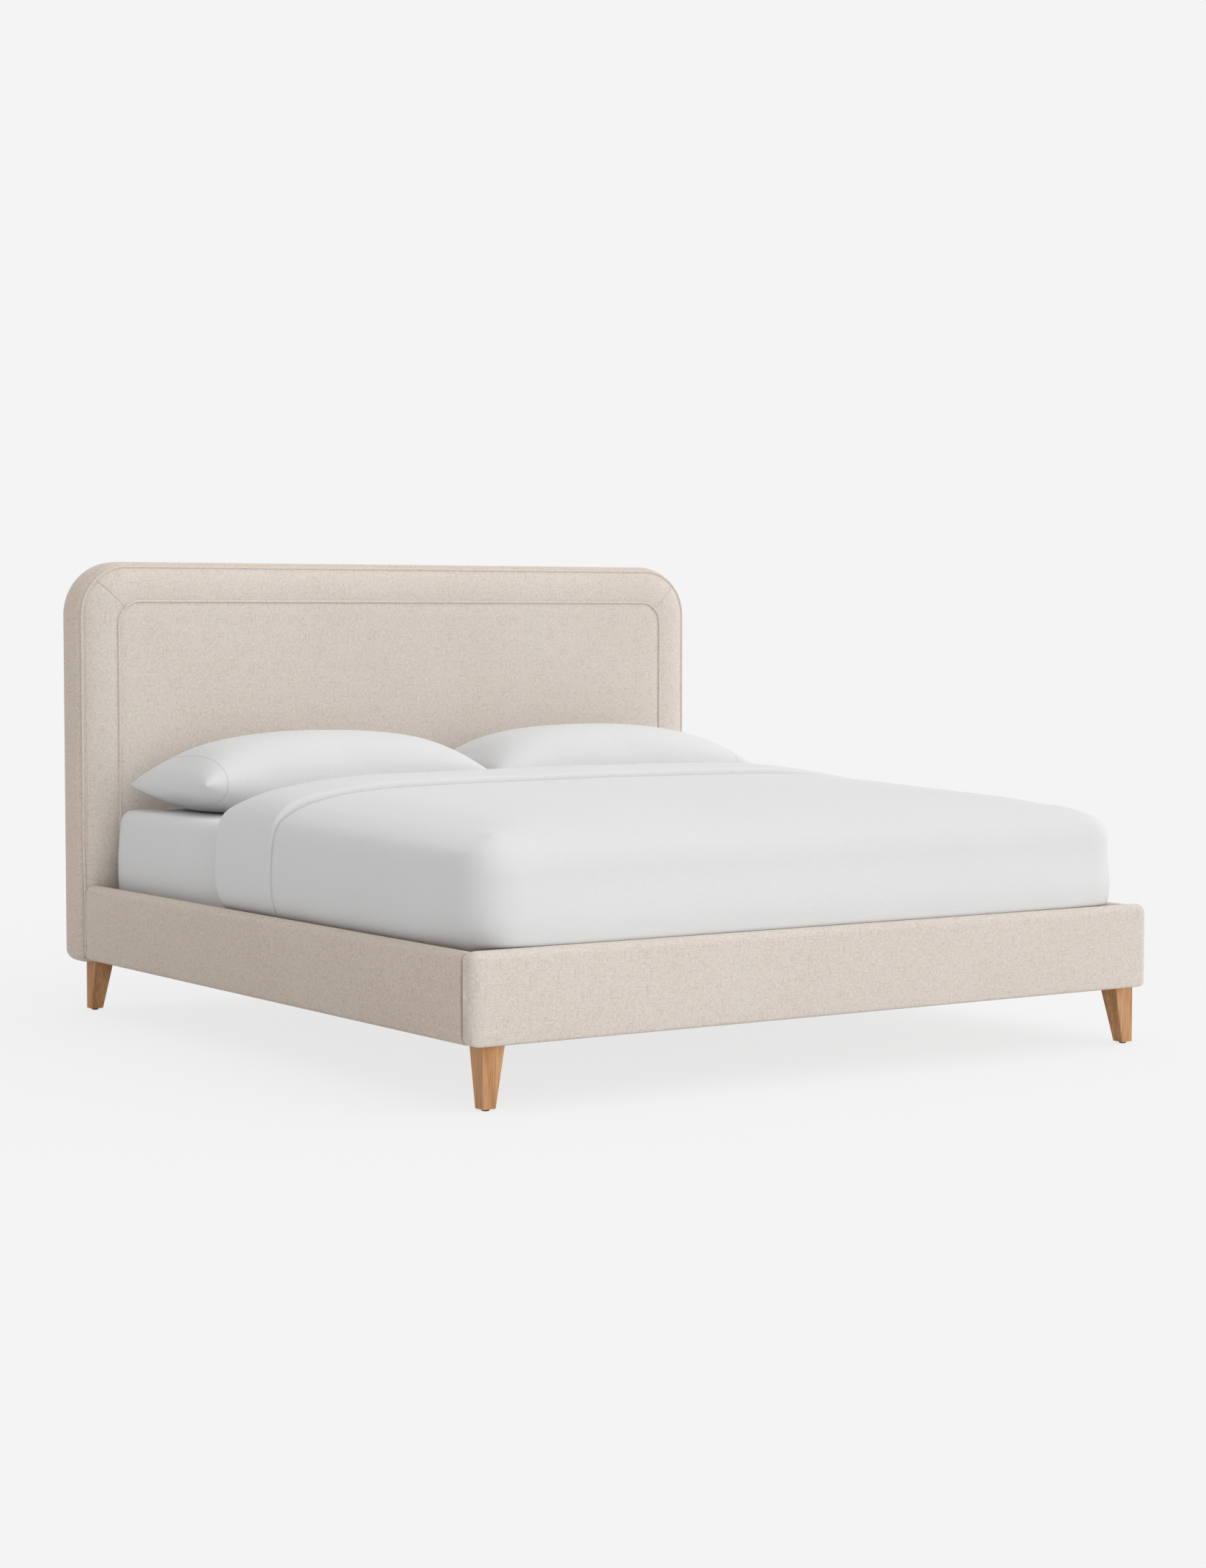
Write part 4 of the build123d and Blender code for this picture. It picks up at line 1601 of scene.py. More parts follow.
@dataclass
class SlattedBase:
    """The wood and steel under the mattress, with its screws and staples."""

    slats: int = 11
    slat_top: float = 0.298
    slat_bottom: float = 0.279
    slat_first: float = -1.005
    slat_pitch: float = 0.191
    screw_x: float = 0.977
    screw_shifts: Pair = (-0.03, 0.03)
    screw_sink: float = 0.0005
    strap_x: float = 0.500
    strap_shifts: Pair = (-0.02, 0.02)
    strap_depth: float = 0.0014
    ledger_face: Pair = (0.9645, 0.260)
    ledger_run: Triple = (-0.99, 0.85, 0.23)
    bracket_x: float = 0.9860
    bracket_rows: tuple[Pair, Pair] = ((0.915, 0.945), (0.195, 0.257))
    hangers: tuple[Pair, Pair] = ((-1.0632, 1.0), (0.9402, -1.0))
    hanger_rows: tuple[Pair, Pair] = ((-0.034, 0.034), (0.200, 0.248))

    def finishes(self) -> dict[Finish, list[str]]:
        """Which solids get which finish.

        Returns:
            The solids' names for each finish.
        """
        pair = ("left", "right")
        return {
            PINE_X: [f"slat_{i + 1:02d}" for i in range(self.slats)]
            + ["headboard_top_rail", "headboard_bottom_rail", "head_cross_rail"],
            PINE_Y: [f"{s}_slat_ledger" for s in pair] + ["centre_beam"],
            PINE_Z: [f"{s}_headboard_post" for s in pair]
            + ["headboard_corner_blocks", "foot_corner_blocks"]
            + ["centre_leg_head", "centre_leg_middle"],
            PLYWOOD: ["headboard_face_panel", "footboard_board"]
            + [f"{s}_rail_board" for s in pair],
            LEG_WOOD: [f"{s}_{e}_leg" for s in pair for e in ("foot", "head")],
            PLASTIC: ["leg_glides"],
            STEEL: ["rail_brackets", "bracket_bolts", "beam_hangers", "leg_hanger_bolts"]
            + ["leveller_head", "leveller_middle"],
            WEBBING: ["slat_webbing"],
        }

    def screws(self) -> None:
        """Screws through the slats, the ledgers, the brackets and the hangers."""
        screws = Scatter(Fastener.SCREW, length=0.0085, width=0.0085, height=0.0016, finish=STEEL)
        middles = self.slat_first + self.slat_pitch * np.arange(self.slats)
        for side in Side:
            s = side.value
            for shift in self.screw_shifts:
                top = spots_at(s * self.screw_x, middles + shift, self.slat_top - self.screw_sink)
                screws.put(top, (0, 0, 1), (1, 0, 0))
            x, z = self.ledger_face
            wall = spots_at(s * x, np.arange(*self.ledger_run), z)
            screws.put(wall, (-s, 0, 0), (0, 1, 0))
            for y, z in product(*self.bracket_rows):
                screws.put((s * self.bracket_x, y, z), (-s, 0, 0), (0, 1, 0))
        for y, way in self.hangers:
            for x, z in product(*self.hanger_rows):
                screws.put((x, y, z), (0, way, 0), (1, 0, 0))
        place(screws.build("slat_and_bracket_screws"), "frame", STEEL)

    def strap_staples(self, staples: Scatter) -> None:
        """Note the staples that hold the webbing under the slats.

        Args:
            staples: Where the staples are noted.
        """
        for i in range(self.slats - 1):
            middle = self.slat_first + self.slat_pitch * i
            for side in Side:
                for shift in self.strap_shifts:
                    z = self.slat_bottom - self.strap_depth
                    spot = (side.value * self.strap_x, middle + shift, z)
                    staples.put(spot, (0, 0, -1), (1, 0, 0))

    def build(self, staples: Scatter) -> None:
        """Dress the solids and add the screws.

        Args:
            staples: Where the staples are noted.
        """
        for finish, names in self.finishes().items():
            for name in names:
                dress(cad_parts[name], finish)
                LOG.info("%s dressed in %s", name, finish.name)
        self.screws()
        self.strap_staples(staples)


@dataclass
class BedForm:
    """A form over the mattress: a flat core, and rounded sides that follow a section."""

    half_width: float = 0.957
    foot: float = -1.037
    head: float = 0.953
    top: float = 0.569
    edge: float = 0.030
    corner: float = 0.085
    side_steps: int = 32
    step: float = 0.024
    end_rows: tuple[float, ...] = (0.0007, 0.0018, 0.0034, 0.0055, 0.0082)

    def axis(self, low: float, high: float, wraps: Ends) -> np.ndarray:
        """Places along one axis: core positions, and shares of the side beyond each end.

        Args:
            low: Where the core starts.
            high: Where the core ends.
            wraps: Whether the form turns down at each end.

        Returns:
            Rows of core position and signed share.
        """
        count = max(int((high - low) / self.step), 4)
        shares = 1.0 - (1.0 - np.arange(1, self.side_steps + 1) / self.side_steps) ** 1.5
        places = np.linspace(low, high, count)
        close = np.array(self.end_rows)
        if not wraps[0]:
            places = np.union1d(places, low + close)
        if not wraps[1]:
            places = np.union1d(places, high - close)
        rows = [np.column_stack([places, np.zeros(len(places))])]
        if wraps[0]:
            rows.insert(0, np.column_stack([np.full(self.side_steps, low), -shares[::-1]]))
        if wraps[1]:
            rows.append(np.column_stack([np.full(self.side_steps, high), shares]))
        return np.vstack(rows)

    def lattice(self, low: float, high: float, wraps: Ends) -> Lattice:
        """Core points, outward directions and shares of the section for a whole form.

        Args:
            low: The core's lowest Y.
            high: The core's highest Y.
            wraps: Whether the form turns down at its foot and its head.

        Returns:
            Core points, directions and shares, in rows and columns.
        """
        core_x = self.half_width - self.corner
        across = self.axis(-core_x, core_x, (True, True))
        along = self.axis(low, high, wraps)
        a, b = np.broadcast_arrays(across[None, :, 1], along[:, None, 1])
        x, y = np.broadcast_arrays(across[None, :, 0], along[:, None, 0])
        wide, deep = np.abs(a), np.abs(b)
        share = np.maximum(wide, deep)
        least = np.minimum(wide, deep) / np.maximum(share, 1e-9)
        turn = np.where(wide >= deep, np.pi / 4 * least, np.pi / 2 - np.pi / 4 * least)
        way = np.stack([np.cos(turn) * np.sign(a), np.sin(turn) * np.sign(b)], axis=-1)
        return np.stack([x, y], axis=-1), way, share

    def raise_section(
        self, core: np.ndarray, way: np.ndarray, share: np.ndarray, section: np.ndarray
    ) -> np.ndarray:
        """Stand a section on the core's edge.

        Args:
            core: The core points.
            way: The outward directions.
            share: The shares of the section.
            section: Points of distance out and height.

        Returns:
            The points of the form.
        """
        t = np.linspace(0.0, 1.0, len(section))
        out = np.interp(share, t, section[:, 0])
        z = np.interp(share, t, section[:, 1])
        flat = core + way * out[..., None]
        return np.concatenate([flat, z[..., None]], axis=-1)

    def flat_cloth(
        self, core: np.ndarray, way: np.ndarray, share: np.ndarray, drop: float
    ) -> np.ndarray:
        """The points' places on the flat cloth, in metres."""
        return core + way * (share * drop)[..., None]

    def under(self, gap: float, hem: float) -> np.ndarray:
        """The section of the covered mattress, grown by a gap, down to a hem.

        Args:
            gap: The distance from the mattress.
            hem: The height of the lower end.

        Returns:
            Points of distance out and height, evenly spaced.
        """
        edge, top = self.edge + gap, self.top + gap
        side = self.corner + gap
        bend = arc((side - edge, top - edge), edge, 90, 0, 14)
        line = np.vstack([[(0.0, top)], bend, [(side, hem)]])
        return divide(line, 4 * self.side_steps + 1)


@dataclass
class Mattress(BedForm):
    """The mattress itself, with piping round its lower edge."""

    bottom: float = 0.2983
    hollow: float = 0.0035
    piping_height: float = 0.012
    piping_radius: float = 0.003

    def build(self) -> None:
        """Make the mattress and the piping."""
        middle = (self.bottom + self.top) / 2
        core_foot, core_head = self.foot + self.corner, self.head - self.corner
        lattice = self.lattice(core_foot, core_head, (True, True))
        upper = self.under(0.0, middle)
        halves = []
        for turned in (False, True):
            section = upper.copy()
            if turned:
                section[:, 1] = 2 * middle - section[:, 1]
            points = self.raise_section(*lattice, section)
            bow = ease(lattice[2], 0.5, 1.0) * self.hollow
            points[..., :2] -= lattice[1] * bow[..., None]
            halves.append(points)
        rows, columns = halves[0].shape[:2]
        count = rows * columns
        faces = lattice_faces(rows, columns) + lattice_faces(rows, columns, count, flip=True)
        cloth = self.flat_cloth(*lattice, 0.2)
        both = np.concatenate([half.reshape(-1, 3) for half in halves])
        piece = new_piece("mattress_body", both, faces, np.concatenate([cloth.reshape(-1, 2)] * 2))
        merge_doubles(piece, MERGE)
        place(piece, "mattress_set", TICKING, "mattress")
        plan = self.outline(-self.hollow)
        path = spots_at(plan[:, 0], plan[:, 1], self.bottom + self.piping_height)
        cord = piping("mattress_lower_piping", path, self.piping_radius, TICKING, closed=True)
        place(cord, "mattress_set", TICKING)

    def outline(self, grow: float) -> np.ndarray:
        """The mattress in plan, all the way round.

        Args:
            grow: How far outside the mattress the line runs.

        Returns:
            Points of X and Y.
        """
        x, r = self.half_width - self.corner, self.corner + grow
        low, high = self.foot + self.corner, self.head - self.corner
        bends = [((x, high), 0), ((-x, high), 90), ((-x, low), 180), ((x, low), 270)]
        line = np.vstack([arc(centre, r, start, start + 90, 10) for centre, start in bends])
        return divide(np.vstack([line, line[:1]]), 600)[:-1]


@dataclass
class FittedSheet(BedForm):
    """The sheet pulled over the mattress."""

    gap: float = 0.002
    slack: float = 0.010
    hem: float = 0.331
    drop: float = 0.29
    thickness: float = 0.0010
    gather: float = 0.0008
    side_wave: float = 0.0007
    top_wave: float = 0.0005

    def build(self) -> None:
        """Make the sheet, with soft gathers at its corners."""
        lattice = self.lattice(self.foot + self.corner, self.head - self.corner, (True, True))
        points = self.raise_section(*lattice, self.under(self.gap, self.hem))
        core, way, share = lattice
        corner = np.abs(way[..., 0] * way[..., 1]) * 2
        turn = np.arctan2(np.abs(way[..., 1]), np.abs(way[..., 0]))
        gather = np.sin(turn * 22.0) * corner * ease(share, 0.35, 1.0)
        wave = ripple(points, 0.16, 21.0) * ease(share, 0.2, 0.6)
        puff = self.gather * gather + self.side_wave * np.maximum(wave, -0.3)
        points[..., :2] += way * puff[..., None]
        loose = np.sin(np.pi * np.clip((share - 0.3) / 0.85, 0.0, 1.0))
        loose = loose * ease(core[..., 1], 0.28, 0.40)
        points[..., :2] += way * (self.slack * loose * np.abs(way[..., 0]))[..., None]
        points[..., 2] += self.top_wave * ripple(points, 0.3, 2.0) * (share == 0)
        piece = lattice_piece("fitted_sheet_cloth", points, self.flat_cloth(*lattice, self.drop))
        thicken(piece, self.thickness)
        place(piece, "mattress_set", COTTON, "fitted_sheet")


def noise_line(along: np.ndarray, size: float, seed: float) -> np.ndarray:
    """Smooth noise along one direction only."""
    return ripple(spots_at(along, 0.0, 0.0), size, seed)


def rounded_end(away: np.ndarray, radius: float) -> np.ndarray:
    """How far a rounded edge lies inside its square form, at distances from its end."""
    left = 1.0 - np.clip(away / radius, 0.0, 1.0)
    return radius * (1.0 - np.sqrt(1.0 - left**2))


# the upper part of the duvet's sections: distance out and height
SHOULDER: Line = (
    (0.0, 0.6425), (0.012, 0.6398), (0.043, 0.629), (0.074, 0.614), (0.092, 0.6015),
    (0.106, 0.5875), (0.117, 0.5606), (0.1215, 0.5336), (0.1250, 0.485),
)


@dataclass
class Quilt(BedForm):
    """A filled cover over the mattress, domed across the bed and hanging down its sides."""

    low: float = -0.952
    high: float = -0.0775
    hem: float = 0.348
    foot_hem: float = 0.3626
    gap: float = 0.0032
    drop: float = 0.42
    end_roll: float = 0.009
    squareness: float = 2.6
    dome: Line = (
        (0.0, 0.0365), (0.062, 0.023), (0.114, 0.016), (0.202, 0.009), (0.372, 0.004),
        (0.572, 0.002), (0.872, 0.0),
    )
    side: Line = SHOULDER + (
        (0.1255, 0.445), (0.1240, 0.412), (0.1195, 0.388), (0.1140, 0.371), (0.1075, 0.357),
        (0.1000, 0.350),
    )
    front: Line = SHOULDER + (
        (0.1262, 0.445), (0.1270, 0.412), (0.1270, 0.388), (0.1269, 0.374), (0.1267, 0.3665),
        (0.1258, 0.3633), (0.1225, 0.3626), (0.1050, 0.3626),
    )

    def drop_in(self, inside: np.ndarray) -> np.ndarray:
        """How far the dome lies below its top, at distances in from the core's edge."""
        line = flow(self.dome, 120)
        return np.interp(inside, line[:, 0], line[:, 1])

    def shell(self, wraps: Ends) -> tuple[np.ndarray, ...]:
        """The full outer form and the hidden inner one.

        Args:
            wraps: Whether it turns down at its foot and its head.

        Returns:
            Outer points, inner points, core points, directions, shares and the outward slant.
        """
        core, way, share = self.lattice(self.low, self.high, wraps)
        toward_foot = way[..., 1:] ** 2
        way = np.sign(way) * np.abs(way) ** (2.0 / self.squareness)
        count = 4 * self.side_steps + 1
        loft = self.raise_section(core, way, share, flow(self.side, count))
        front = self.raise_section(core, way, share, flow(self.front, count))
        loft += toward_foot * (front - loft)
        base = self.raise_section(core, way, share, self.under(self.gap, self.hem))
        base[..., 2] += toward_foot[..., 0] * (self.foot_hem - self.hem) * ease(share, 0.5, 1.0)
        level = 1.0 - ease(share, 0.05, 0.62)
        sink = self.drop_in(self.half_width - self.corner - np.abs(core[..., 0]))
        if wraps[0]:
            toward = self.drop_in(core[..., 1] - self.low)
            sink = np.minimum((sink**4 + toward**4) ** 0.25, self.dome[0][1])
        loft[..., 2] += level * (self.dome[0][1] - sink)
        lean = ease(share, 0.0, 0.55) * math.pi / 2
        slant = np.concatenate([way * np.sin(lean)[..., None], np.cos(lean)[..., None]], axis=-1)
        return loft, base, core, way, share, slant


@dataclass
class Duvet(Quilt):
    """The duvet over the lower half of the bed."""

    fall: float = 0.030
    foot_pull: float = 0.0185
    taper: float = 0.012
    corner_share: float = 0.8
    top_wave: float = 0.0016
    side_wave: float = 0.0016
    pucker: float = 0.0022
    hem_wave: float = 0.0034

    def build(self) -> None:
        """Make the duvet with its slow waves and the small puckers along its hem."""
        outer, base, core, way, share, slant = self.shell((True, False))
        level = 1.0 - ease(share, 0.05, 0.75)
        outer[..., 2] -= level * self.fall * (self.high - core[..., 1])
        pull = self.foot_pull * way[..., 1] ** 2 * ease(share, 0.05, 0.4)
        pull = pull * (1.0 - ease(share, 0.5, 0.82))
        outer[..., :2] -= way * pull[..., None]
        aside = ease(np.abs(outer[..., 0]), 0.70, 0.96)
        near_foot = 1.0 - ease(outer[..., 1], -1.05, -0.70)
        inward = np.sign(outer[..., 0]) * self.taper * aside * near_foot
        outer[..., 0] -= inward * ease(share, 0.30, 0.60)
        back = self.corner_share * self.taper * aside * np.maximum(-way[..., 1], 0.0)
        outer[..., 1] += back * ease(share, 0.45, 0.75)
        outer -= slant * 2.0 * rounded_end(self.high - core[..., 1], self.end_roll)[..., None]
        outer[..., 2] += level * self.top_wave * ripple(outer, 0.34, 4.0)
        beside = np.abs(way[..., 0]) > np.abs(way[..., 1])
        hang = np.where(beside, core[..., 1], core[..., 0])
        turn = np.arctan2(np.abs(way[..., 1]), np.abs(way[..., 0]))
        pucker = noise_line(hang + 0.14 * turn, 0.034, 7.0) * ease(share, 0.72, 0.96)
        wave = ripple(outer, 0.2, 9.0) * ease(share, 0.2, 0.5)
        puff = self.pucker * pucker * np.where(beside, 1.0, 0.3) + self.side_wave * wave
        outer[..., :2] += way * puff[..., None]
        outer[..., 2] += self.hem_wave * pucker * beside
        cloth = self.flat_cloth(core, way, share, self.drop)
        piece = filled_piece("duvet_cover", outer, base, cloth)
        merge_doubles(piece, MERGE)
        place(piece, "mattress_set", COTTON, "duvet")


@dataclass
class TurnDown(Quilt):
    """The turned-down band at the middle of the bed."""

    low: float = -0.0765
    high: float = 0.250
    step: float = 0.011
    side_roll: float = 0.030
    slump: float = 0.013
    curl: float = 0.018
    top_wave: float = 0.0018
    side_wave: float = 0.0014
    dome: Line = (
        (0.0, 0.0345), (0.072, 0.022), (0.138, 0.0135), (0.250, 0.006), (0.372, 0.004),
        (0.572, 0.002), (0.872, 0.0),
    )
    side: Line = (
        (0.0, 0.6685), (0.025, 0.6615), (0.058, 0.649), (0.083, 0.632), (0.103, 0.609),
        (0.1155, 0.579), (0.1225, 0.540), (0.1265, 0.490), (0.1270, 0.447), (0.1250, 0.412),
        (0.1205, 0.389), (0.1150, 0.372), (0.1085, 0.358), (0.1010, 0.351),
    )
    rise: Line = (
        (0.0, 0.0), (0.004, 0.20), (0.012, 0.37), (0.030, 0.58), (0.055, 0.75), (0.090, 0.90),
        (0.125, 0.97), (0.165, 1.0), (0.235, 0.985), (0.300, 0.945), (0.330, 0.92),
    )

    def build(self) -> None:
        """Make the band, which swells up from its head end and lies on the duvet."""
        outer, base, core, way, share, slant = self.shell((False, False))
        away = self.high - core[..., 1]
        line = flow(self.rise, 200)
        over = np.interp(away, line[:, 0], line[:, 1])
        beside = 1.0 - rounded_end(away, self.side_roll) / self.side_roll
        full = over + (beside - over) * ease(share, 0.05, 0.45)
        outer = base + (outer - base) * full[..., None]
        lower = self.slump * ease(outer[..., 0], 0.45, 0.88)
        outer[..., 2] -= lower * (1.0 - ease(share, 0.25, 0.70))
        outer -= slant * 2.0 * rounded_end(core[..., 1] - self.low, self.end_roll)[..., None]
        curl = self.curl * ease(share, 0.78, 1.0) ** 2 * np.clip(1.0 - away / 0.25, 0.0, 1.0)
        for points in (outer, base):
            points[..., 1] -= curl
        level = 1.0 - ease(share, 0.05, 0.6)
        outer[..., 2] += level * full * self.top_wave * ripple(outer, 0.26, 14.0)
        wave = ripple(outer, 0.15, 19.0) * ease(share, 0.2, 0.5)
        outer[..., :2] += way * (self.side_wave * wave * full)[..., None]
        cloth = self.flat_cloth(core, way, share, self.drop)
        piece = filled_piece("turned_down_band", outer, base, cloth)
        merge_doubles(piece, MERGE)
        place(piece, "mattress_set", COTTON, "top_sheet")


@dataclass
class ClothRun:
    """A short run of cloth simulation that stuffs a closed cover."""

    frames: int = 26
    pressure: float = 9.0
    tension: float = 25.0
    shear_share: float = 0.4
    bending: float = 2.0
    air: float = 2.0
    mass: float = 0.25
    quality: int = 6

    def stuff(self, piece: Piece) -> np.ndarray:
        """Blow a cover up and give its points.

        Args:
            piece: The flat cover.

        Returns:
            The points at the last frame.
        """
        stuffing = piece.modifiers.new("Stuffing", "CLOTH")
        cloth = stuffing.settings
        cloth.quality = self.quality
        cloth.mass = self.mass
        cloth.tension_stiffness = self.tension
        cloth.compression_stiffness = self.tension
        cloth.shear_stiffness = self.shear_share * self.tension
        cloth.bending_stiffness = self.bending
        cloth.air_damping = self.air
        cloth.use_pressure = True
        cloth.uniform_pressure_force = self.pressure
        cloth.effector_weights.gravity = 0.0
        stuffing.collision_settings.use_collision = False
        stuffing.collision_settings.use_self_collision = False
        stuffing.point_cache.frame_start = 1
        stuffing.point_cache.frame_end = self.frames
        scene = bpy.context.scene
        for step in range(1, self.frames + 1):
            scene.frame_set(step)
        graph = bpy.context.evaluated_depsgraph_get()
        made = piece.evaluated_get(graph).data
        points = np.empty(len(made.vertices) * 3)
        made.vertices.foreach_get("co", points)
        piece.modifiers.remove(stuffing)
        scene.frame_set(1)
        return points.reshape(-1, 3)


@dataclass
class Pillow:
    """One plump pillow in its hemmed case, resting on the mattress."""

    side: Side = Side.LEFT
    length: float = 0.960
    width: float = 0.530
    outer_end: float = 0.922
    inner_end: float = 0.004
    middle: float = 0.680
    half_width: float = 0.243
    rest: float = 0.5724
    seam: float = 0.645
    crown: float = 0.148
    drop: float = 0.108
    tilt: float = 0.052
    falls: Triple = (2.3, 2.95, 2.6)
    roundness: float = 0.53
    belly: float = 0.035
    drawn_in: Pair = (0.018, 0.05)
    slackness: float = 0.35
    slack_limit: float = 0.025
    slack_rounds: int = 14
    softness: float = 0.008
    quick_frames: int = 6
    steps: tuple[int, int] = (72, 40)

    def flat_case(self) -> tuple[Piece, np.ndarray, np.ndarray]:
        """The empty case: two layers of cloth sewn along their edges.

        Returns:
            The object, the points' places on the flat cloth and the layer that each is in.
        """
        nx, ny = self.steps
        u = np.linspace(-self.length / 2, self.length / 2, nx + 1)
        v = np.linspace(-self.width / 2, self.width / 2, ny + 1)
        grid_u, grid_v = np.meshgrid(u, v)
        belly = (1 - (2 * grid_u / self.length) ** 2) * (1 - (2 * grid_v / self.width) ** 2)
        upper = spots_at(grid_u, grid_v, self.belly * belly).reshape(-1, 3)
        count = len(upper)
        inner = np.arange(count).reshape(ny + 1, nx + 1)[1:-1, 1:-1].ravel().tolist()
        renumber = {old: count + new for new, old in enumerate(inner)}
        faces = lattice_faces(ny + 1, nx + 1)
        faces += [tuple(renumber.get(i, i) for i in face[::-1]) for face in faces]
        points = np.concatenate([upper, upper[inner] * (1, 1, -1)])
        cloth = points[:, :2].copy()
        cloth[:, 0] *= self.side.value
        layer = np.where(np.arange(len(points)) < count, 1.0, -1.0)
        return new_piece(f"{self.side.word}_pillow_case", points, faces, cloth), cloth, layer

    def settled(self, cloth: np.ndarray, layer: np.ndarray) -> np.ndarray:
        """The pillow's even form: full in the middle, drawn to a seam all round.

        Args:
            cloth: The points' places on the flat cloth.
            layer: The layer that each point is in, 1 for the upper and -1 for the lower.

        Returns:
            The points in place.
        """
        u, v = 2 * cloth[:, 0] / self.length, 2 * cloth[:, 1] / self.width
        half = (self.outer_end - self.inner_end) / 2
        centre = (self.outer_end + self.inner_end) / 2
        along = u - self.drawn_in[0] * (1 - v**2) * np.sign(u) * np.abs(u) ** 6
        across = v - self.drawn_in[1] * (1 - u**2) * np.sign(v) * np.abs(v) ** 6
        outer, inner, wide = self.falls
        swell = np.clip(1 - np.abs(u) ** np.where(u > 0, outer, inner), 0, 1) ** self.roundness
        swell *= np.clip(1 - np.abs(v) ** wide, 0, 1) ** self.roundness
        y = self.half_width * across
        z = self.seam - self.tilt * y + swell * np.where(layer > 0, self.crown, -self.drop)
        return np.column_stack([self.side.value * (centre + along * half), self.middle + y, z])

    def fit(self, points: np.ndarray, even: np.ndarray, links: np.ndarray) -> np.ndarray:
        """Lay the stuffed case on the mattress, with part of its own slack in the cloth.

        Args:
            points: The points of the stuffed case about its own middle.
            even: The pillow's even form.
            links: The mesh's edges, as pairs of point numbers.

        Returns:
            The points in place.
        """
        middle = (even.max(axis=0) + even.min(axis=0)) / 2
        size = (even.max(axis=0) - even.min(axis=0)) / (points.max(axis=0) - points.min(axis=0))
        slack = (points - (points.max(axis=0) + points.min(axis=0)) / 2) * size + middle - even
        degree = np.bincount(links.ravel(), minlength=len(points))[:, None]
        for _ in range(self.slack_rounds):
            total = np.zeros_like(slack)
            np.add.at(total, links[:, 0], slack[links[:, 1]])
            np.add.at(total, links[:, 1], slack[links[:, 0]])
            slack = 0.5 * slack + 0.5 * total / degree
        fitted = even + self.slackness * np.clip(slack, -self.slack_limit, self.slack_limit)
        above = fitted[:, 2] - self.rest
        fitted[:, 2] = self.rest + 0.5 * (above + np.sqrt(above**2 + self.softness**2))
        fitted[:, 2] -= max(fitted[:, 2].min() - self.rest, 0.0)
        return fitted

    def build(self) -> None:
        """Stuff the case, lay it down and smooth it."""
        piece, cloth, layer = self.flat_case()
        links = np.empty(len(piece.data.edges) * 2, np.int32)
        piece.data.edges.foreach_get("vertices", links)
        run = ClothRun()
        points = self.fit(run.stuff(piece), self.settled(cloth, layer), links.reshape(-1, 2))
        piece.data.vertices.foreach_set("co", points.astype(np.float32).ravel())
        smooth = piece.modifiers.new("Smooth cloth", "SUBSURF")
        smooth.levels = 1
        smooth.render_levels = 1
        settle_modifiers(piece)
        piece.data.shade_smooth()
        place(piece, f"{self.side.word}_pillow", HEMMED_COTTON, f"{self.side.word}_pillow")


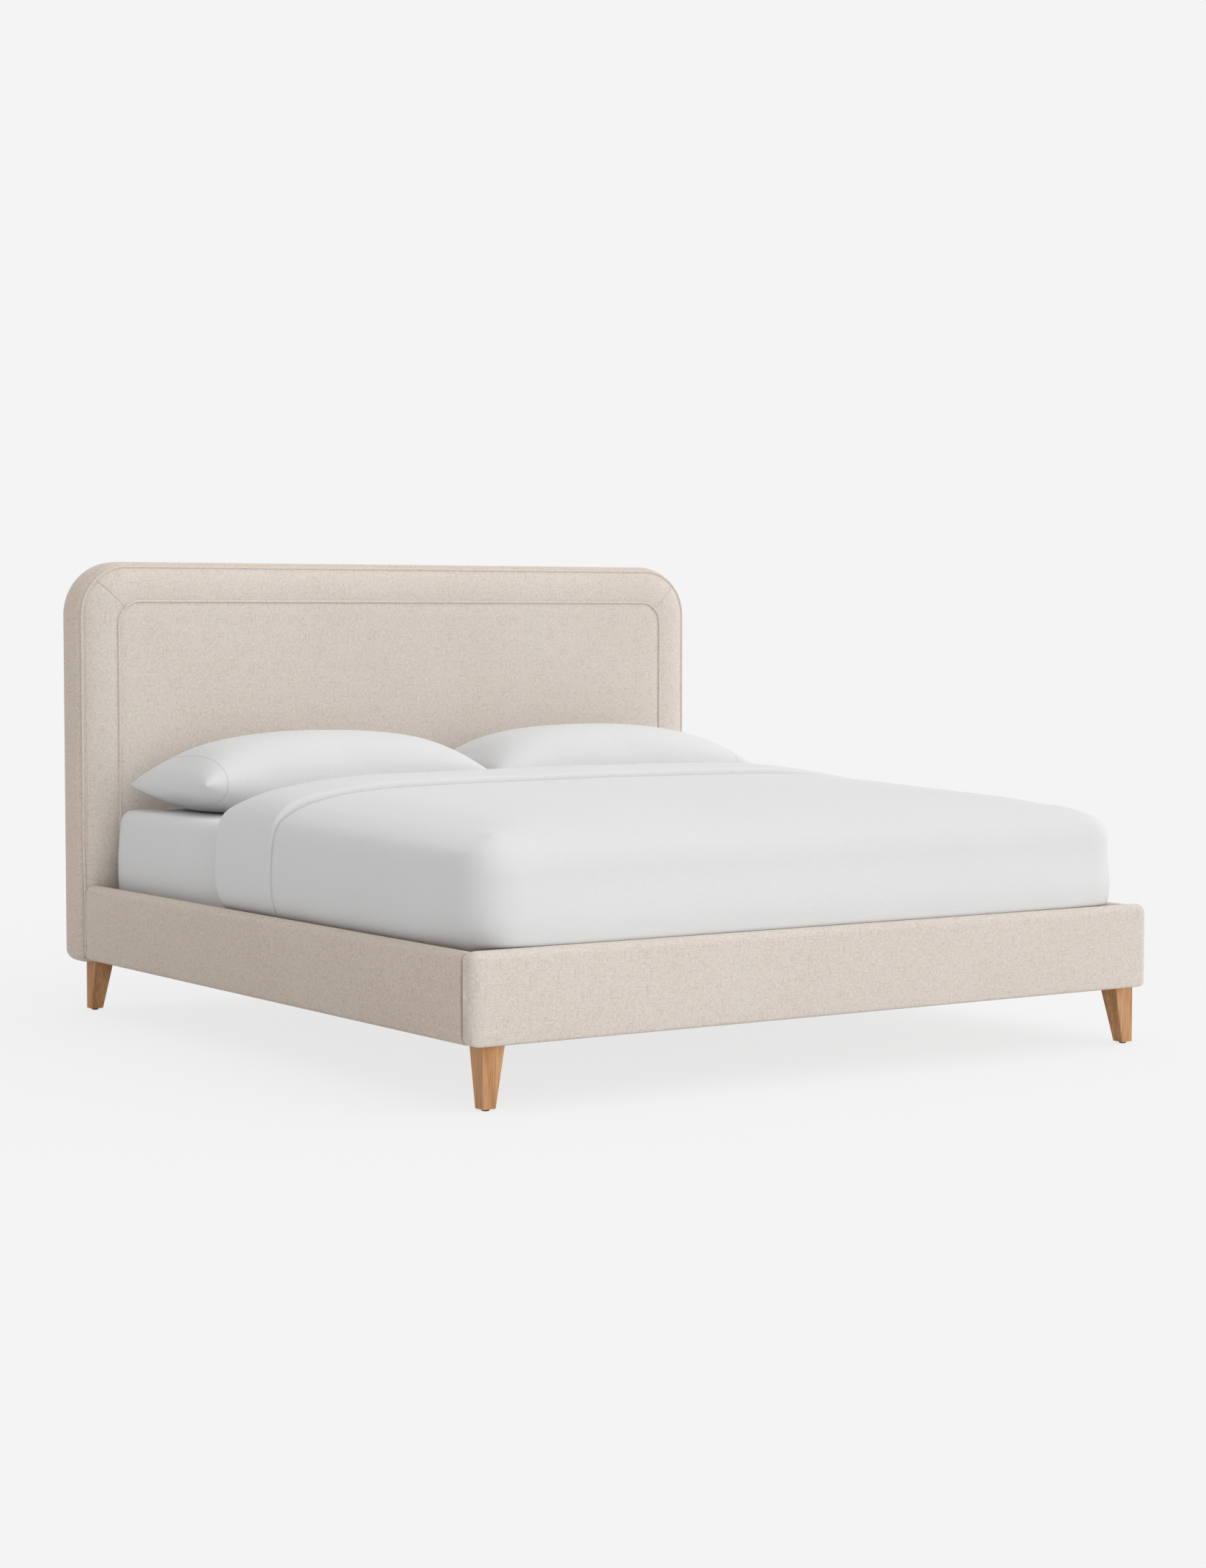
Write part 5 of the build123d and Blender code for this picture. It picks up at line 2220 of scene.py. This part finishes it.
@dataclass
class Studio:
    """Camera, pale floor and soft light."""

    eye: Triple = (-4.50311, -6.82028, 1.11127)
    tip: float = 90.0 - 3.178
    swing: float = -33.794
    lens: float = 69.19
    pale: float = 0.9047
    sky: float = 1.055
    from_right: float = 0.64
    from_front: float = 0.22
    key: float = 0.02
    lamp_way: Triple = (0.34, -0.58, 0.72)
    lamp_spread: float = 60.0
    lamp_reach: float = 8.0
    floor_reach: float = 90.0
    floor_share: float = 0.86
    floor_dim: float = 0.92

    def camera(self) -> None:
        """Stand the camera where the picture was taken from."""
        data = bpy.data.cameras.new("studio_camera")
        data.lens = self.lens
        data.sensor_width = 36.0
        data.clip_end = 200.0
        seen = bpy.data.objects.new("studio_camera", data)
        seen.location = self.eye
        seen.rotation_euler = (math.radians(self.tip), 0.0, math.radians(self.swing))
        bpy.context.scene.collection.objects.link(seen)
        bpy.context.scene.camera = seen

    def seen_directly(self, nodes: Nodes) -> Socket:
        """Tell rays from the camera, mirrors and glass from the rest.

        Args:
            nodes: The nodes of the world or the floor.

        Returns:
            A socket that is 1 for such rays and 0 for others.
        """
        path = nodes.add("ShaderNodeLightPath")
        rays = path.outputs
        shiny = nodes.maths("ADD", rays["Is Glossy Ray"], rays["Is Transmission Ray"])
        return nodes.maths("MINIMUM", nodes.maths("ADD", shiny, rays["Is Camera Ray"]), 1.0)

    def blend(
        self, nodes: Nodes, share: Socket, first: bpy.types.Node, last: bpy.types.Node
    ) -> Socket:
        """Two shaders in one: the first where the share is 0, the last where it is 1."""
        parts = {0: share, 1: first.outputs[0], 2: last.outputs[0]}
        return nodes.add("ShaderNodeMixShader", parts).outputs[0]

    def world(self) -> None:
        """Soft light from all round, stronger from the right and the front, and a pale backdrop."""
        world = bpy.data.worlds.new("studio_world")
        nodes = fresh_nodes(world)
        way = nodes.add("ShaderNodeTexCoord").outputs["Generated"]
        parts = nodes.add("ShaderNodeSeparateXYZ", {0: way}).outputs
        right = nodes.maths("MULTIPLY", parts[0], self.sky * self.from_right)
        front = nodes.maths("MULTIPLY", parts[1], -self.sky * self.from_front)
        level = nodes.maths("ADD", nodes.maths("ADD", right, front), self.sky)
        light = nodes.add("ShaderNodeBackground", {"Color": (1, 1, 1, 1), "Strength": level})
        pale = opaque((self.pale,) * 3)
        drop = nodes.add("ShaderNodeBackground", {"Color": pale, "Strength": 1.0})
        mixed = self.blend(nodes, self.seen_directly(nodes), light, drop)
        nodes.add("ShaderNodeOutputWorld", {"Surface": mixed})
        bpy.context.scene.world = world

    def floor(self) -> None:
        """A wide pale floor that keeps the bed's shadow."""
        corners = self.floor_reach * np.array([(-1, -1, 0), (1, -1, 0), (1, 1, 0), (-1, 1, 0)])
        floor = new_piece("studio_floor", corners, [(0, 1, 2, 3)])
        made = bpy.data.materials.new("pale_floor")
        nodes = fresh_nodes(made)
        dim, pale = opaque((self.floor_dim * self.pale,) * 3), opaque((self.pale,) * 3)
        matt = nodes.add("ShaderNodeBsdfDiffuse", {"Color": dim})
        glow = nodes.add("ShaderNodeEmission", {"Color": pale, "Strength": 1.0})
        share = nodes.maths("MULTIPLY", self.seen_directly(nodes), self.floor_share)
        mixed = self.blend(nodes, share, matt, glow)
        nodes.add("ShaderNodeOutputMaterial", {"Surface": mixed})
        floor.data.materials.append(made)

    def lamp(self) -> None:
        """A broad lamp high in front, on the right."""
        data = bpy.data.lights.new("broad_lamp", "SUN")
        data.energy = self.key * math.pi / self.lamp_way[2]
        data.angle = math.radians(self.lamp_spread)
        lamp = bpy.data.objects.new("broad_lamp", data)
        way = Vector(self.lamp_way).normalized()
        lamp.rotation_euler = way.to_track_quat("Z", "Y").to_euler()
        lamp.location = way * self.lamp_reach
        bpy.context.scene.collection.objects.link(lamp)

    def build(self) -> None:
        """Set up the whole studio."""
        self.camera()
        self.world()
        self.floor()
        self.lamp()
        bpy.context.scene.view_settings.view_transform = "Standard"


def main() -> None:
    """Build every part of the bed and its studio in order."""
    logging.basicConfig(level=logging.INFO, format="%(name)s: %(message)s")
    Studio().build()
    staples = Scatter(Fastener.STAPLE, length=0.011, width=0.0013, height=0.0010, finish=STEEL)
    Headboard().build(staples)
    for side in Side:
        SideRail(side=side).build(staples)
    Footboard().build(staples)
    FoamPads().build()
    SlattedBase().build(staples)
    place(staples.build("upholstery_staples"), "frame", STEEL)
    Mattress().build()
    FittedSheet().build()
    Duvet().build()
    TurnDown().build()
    for side in Side:
        Pillow(side=side).build()


if __name__ == "__main__":
    main()
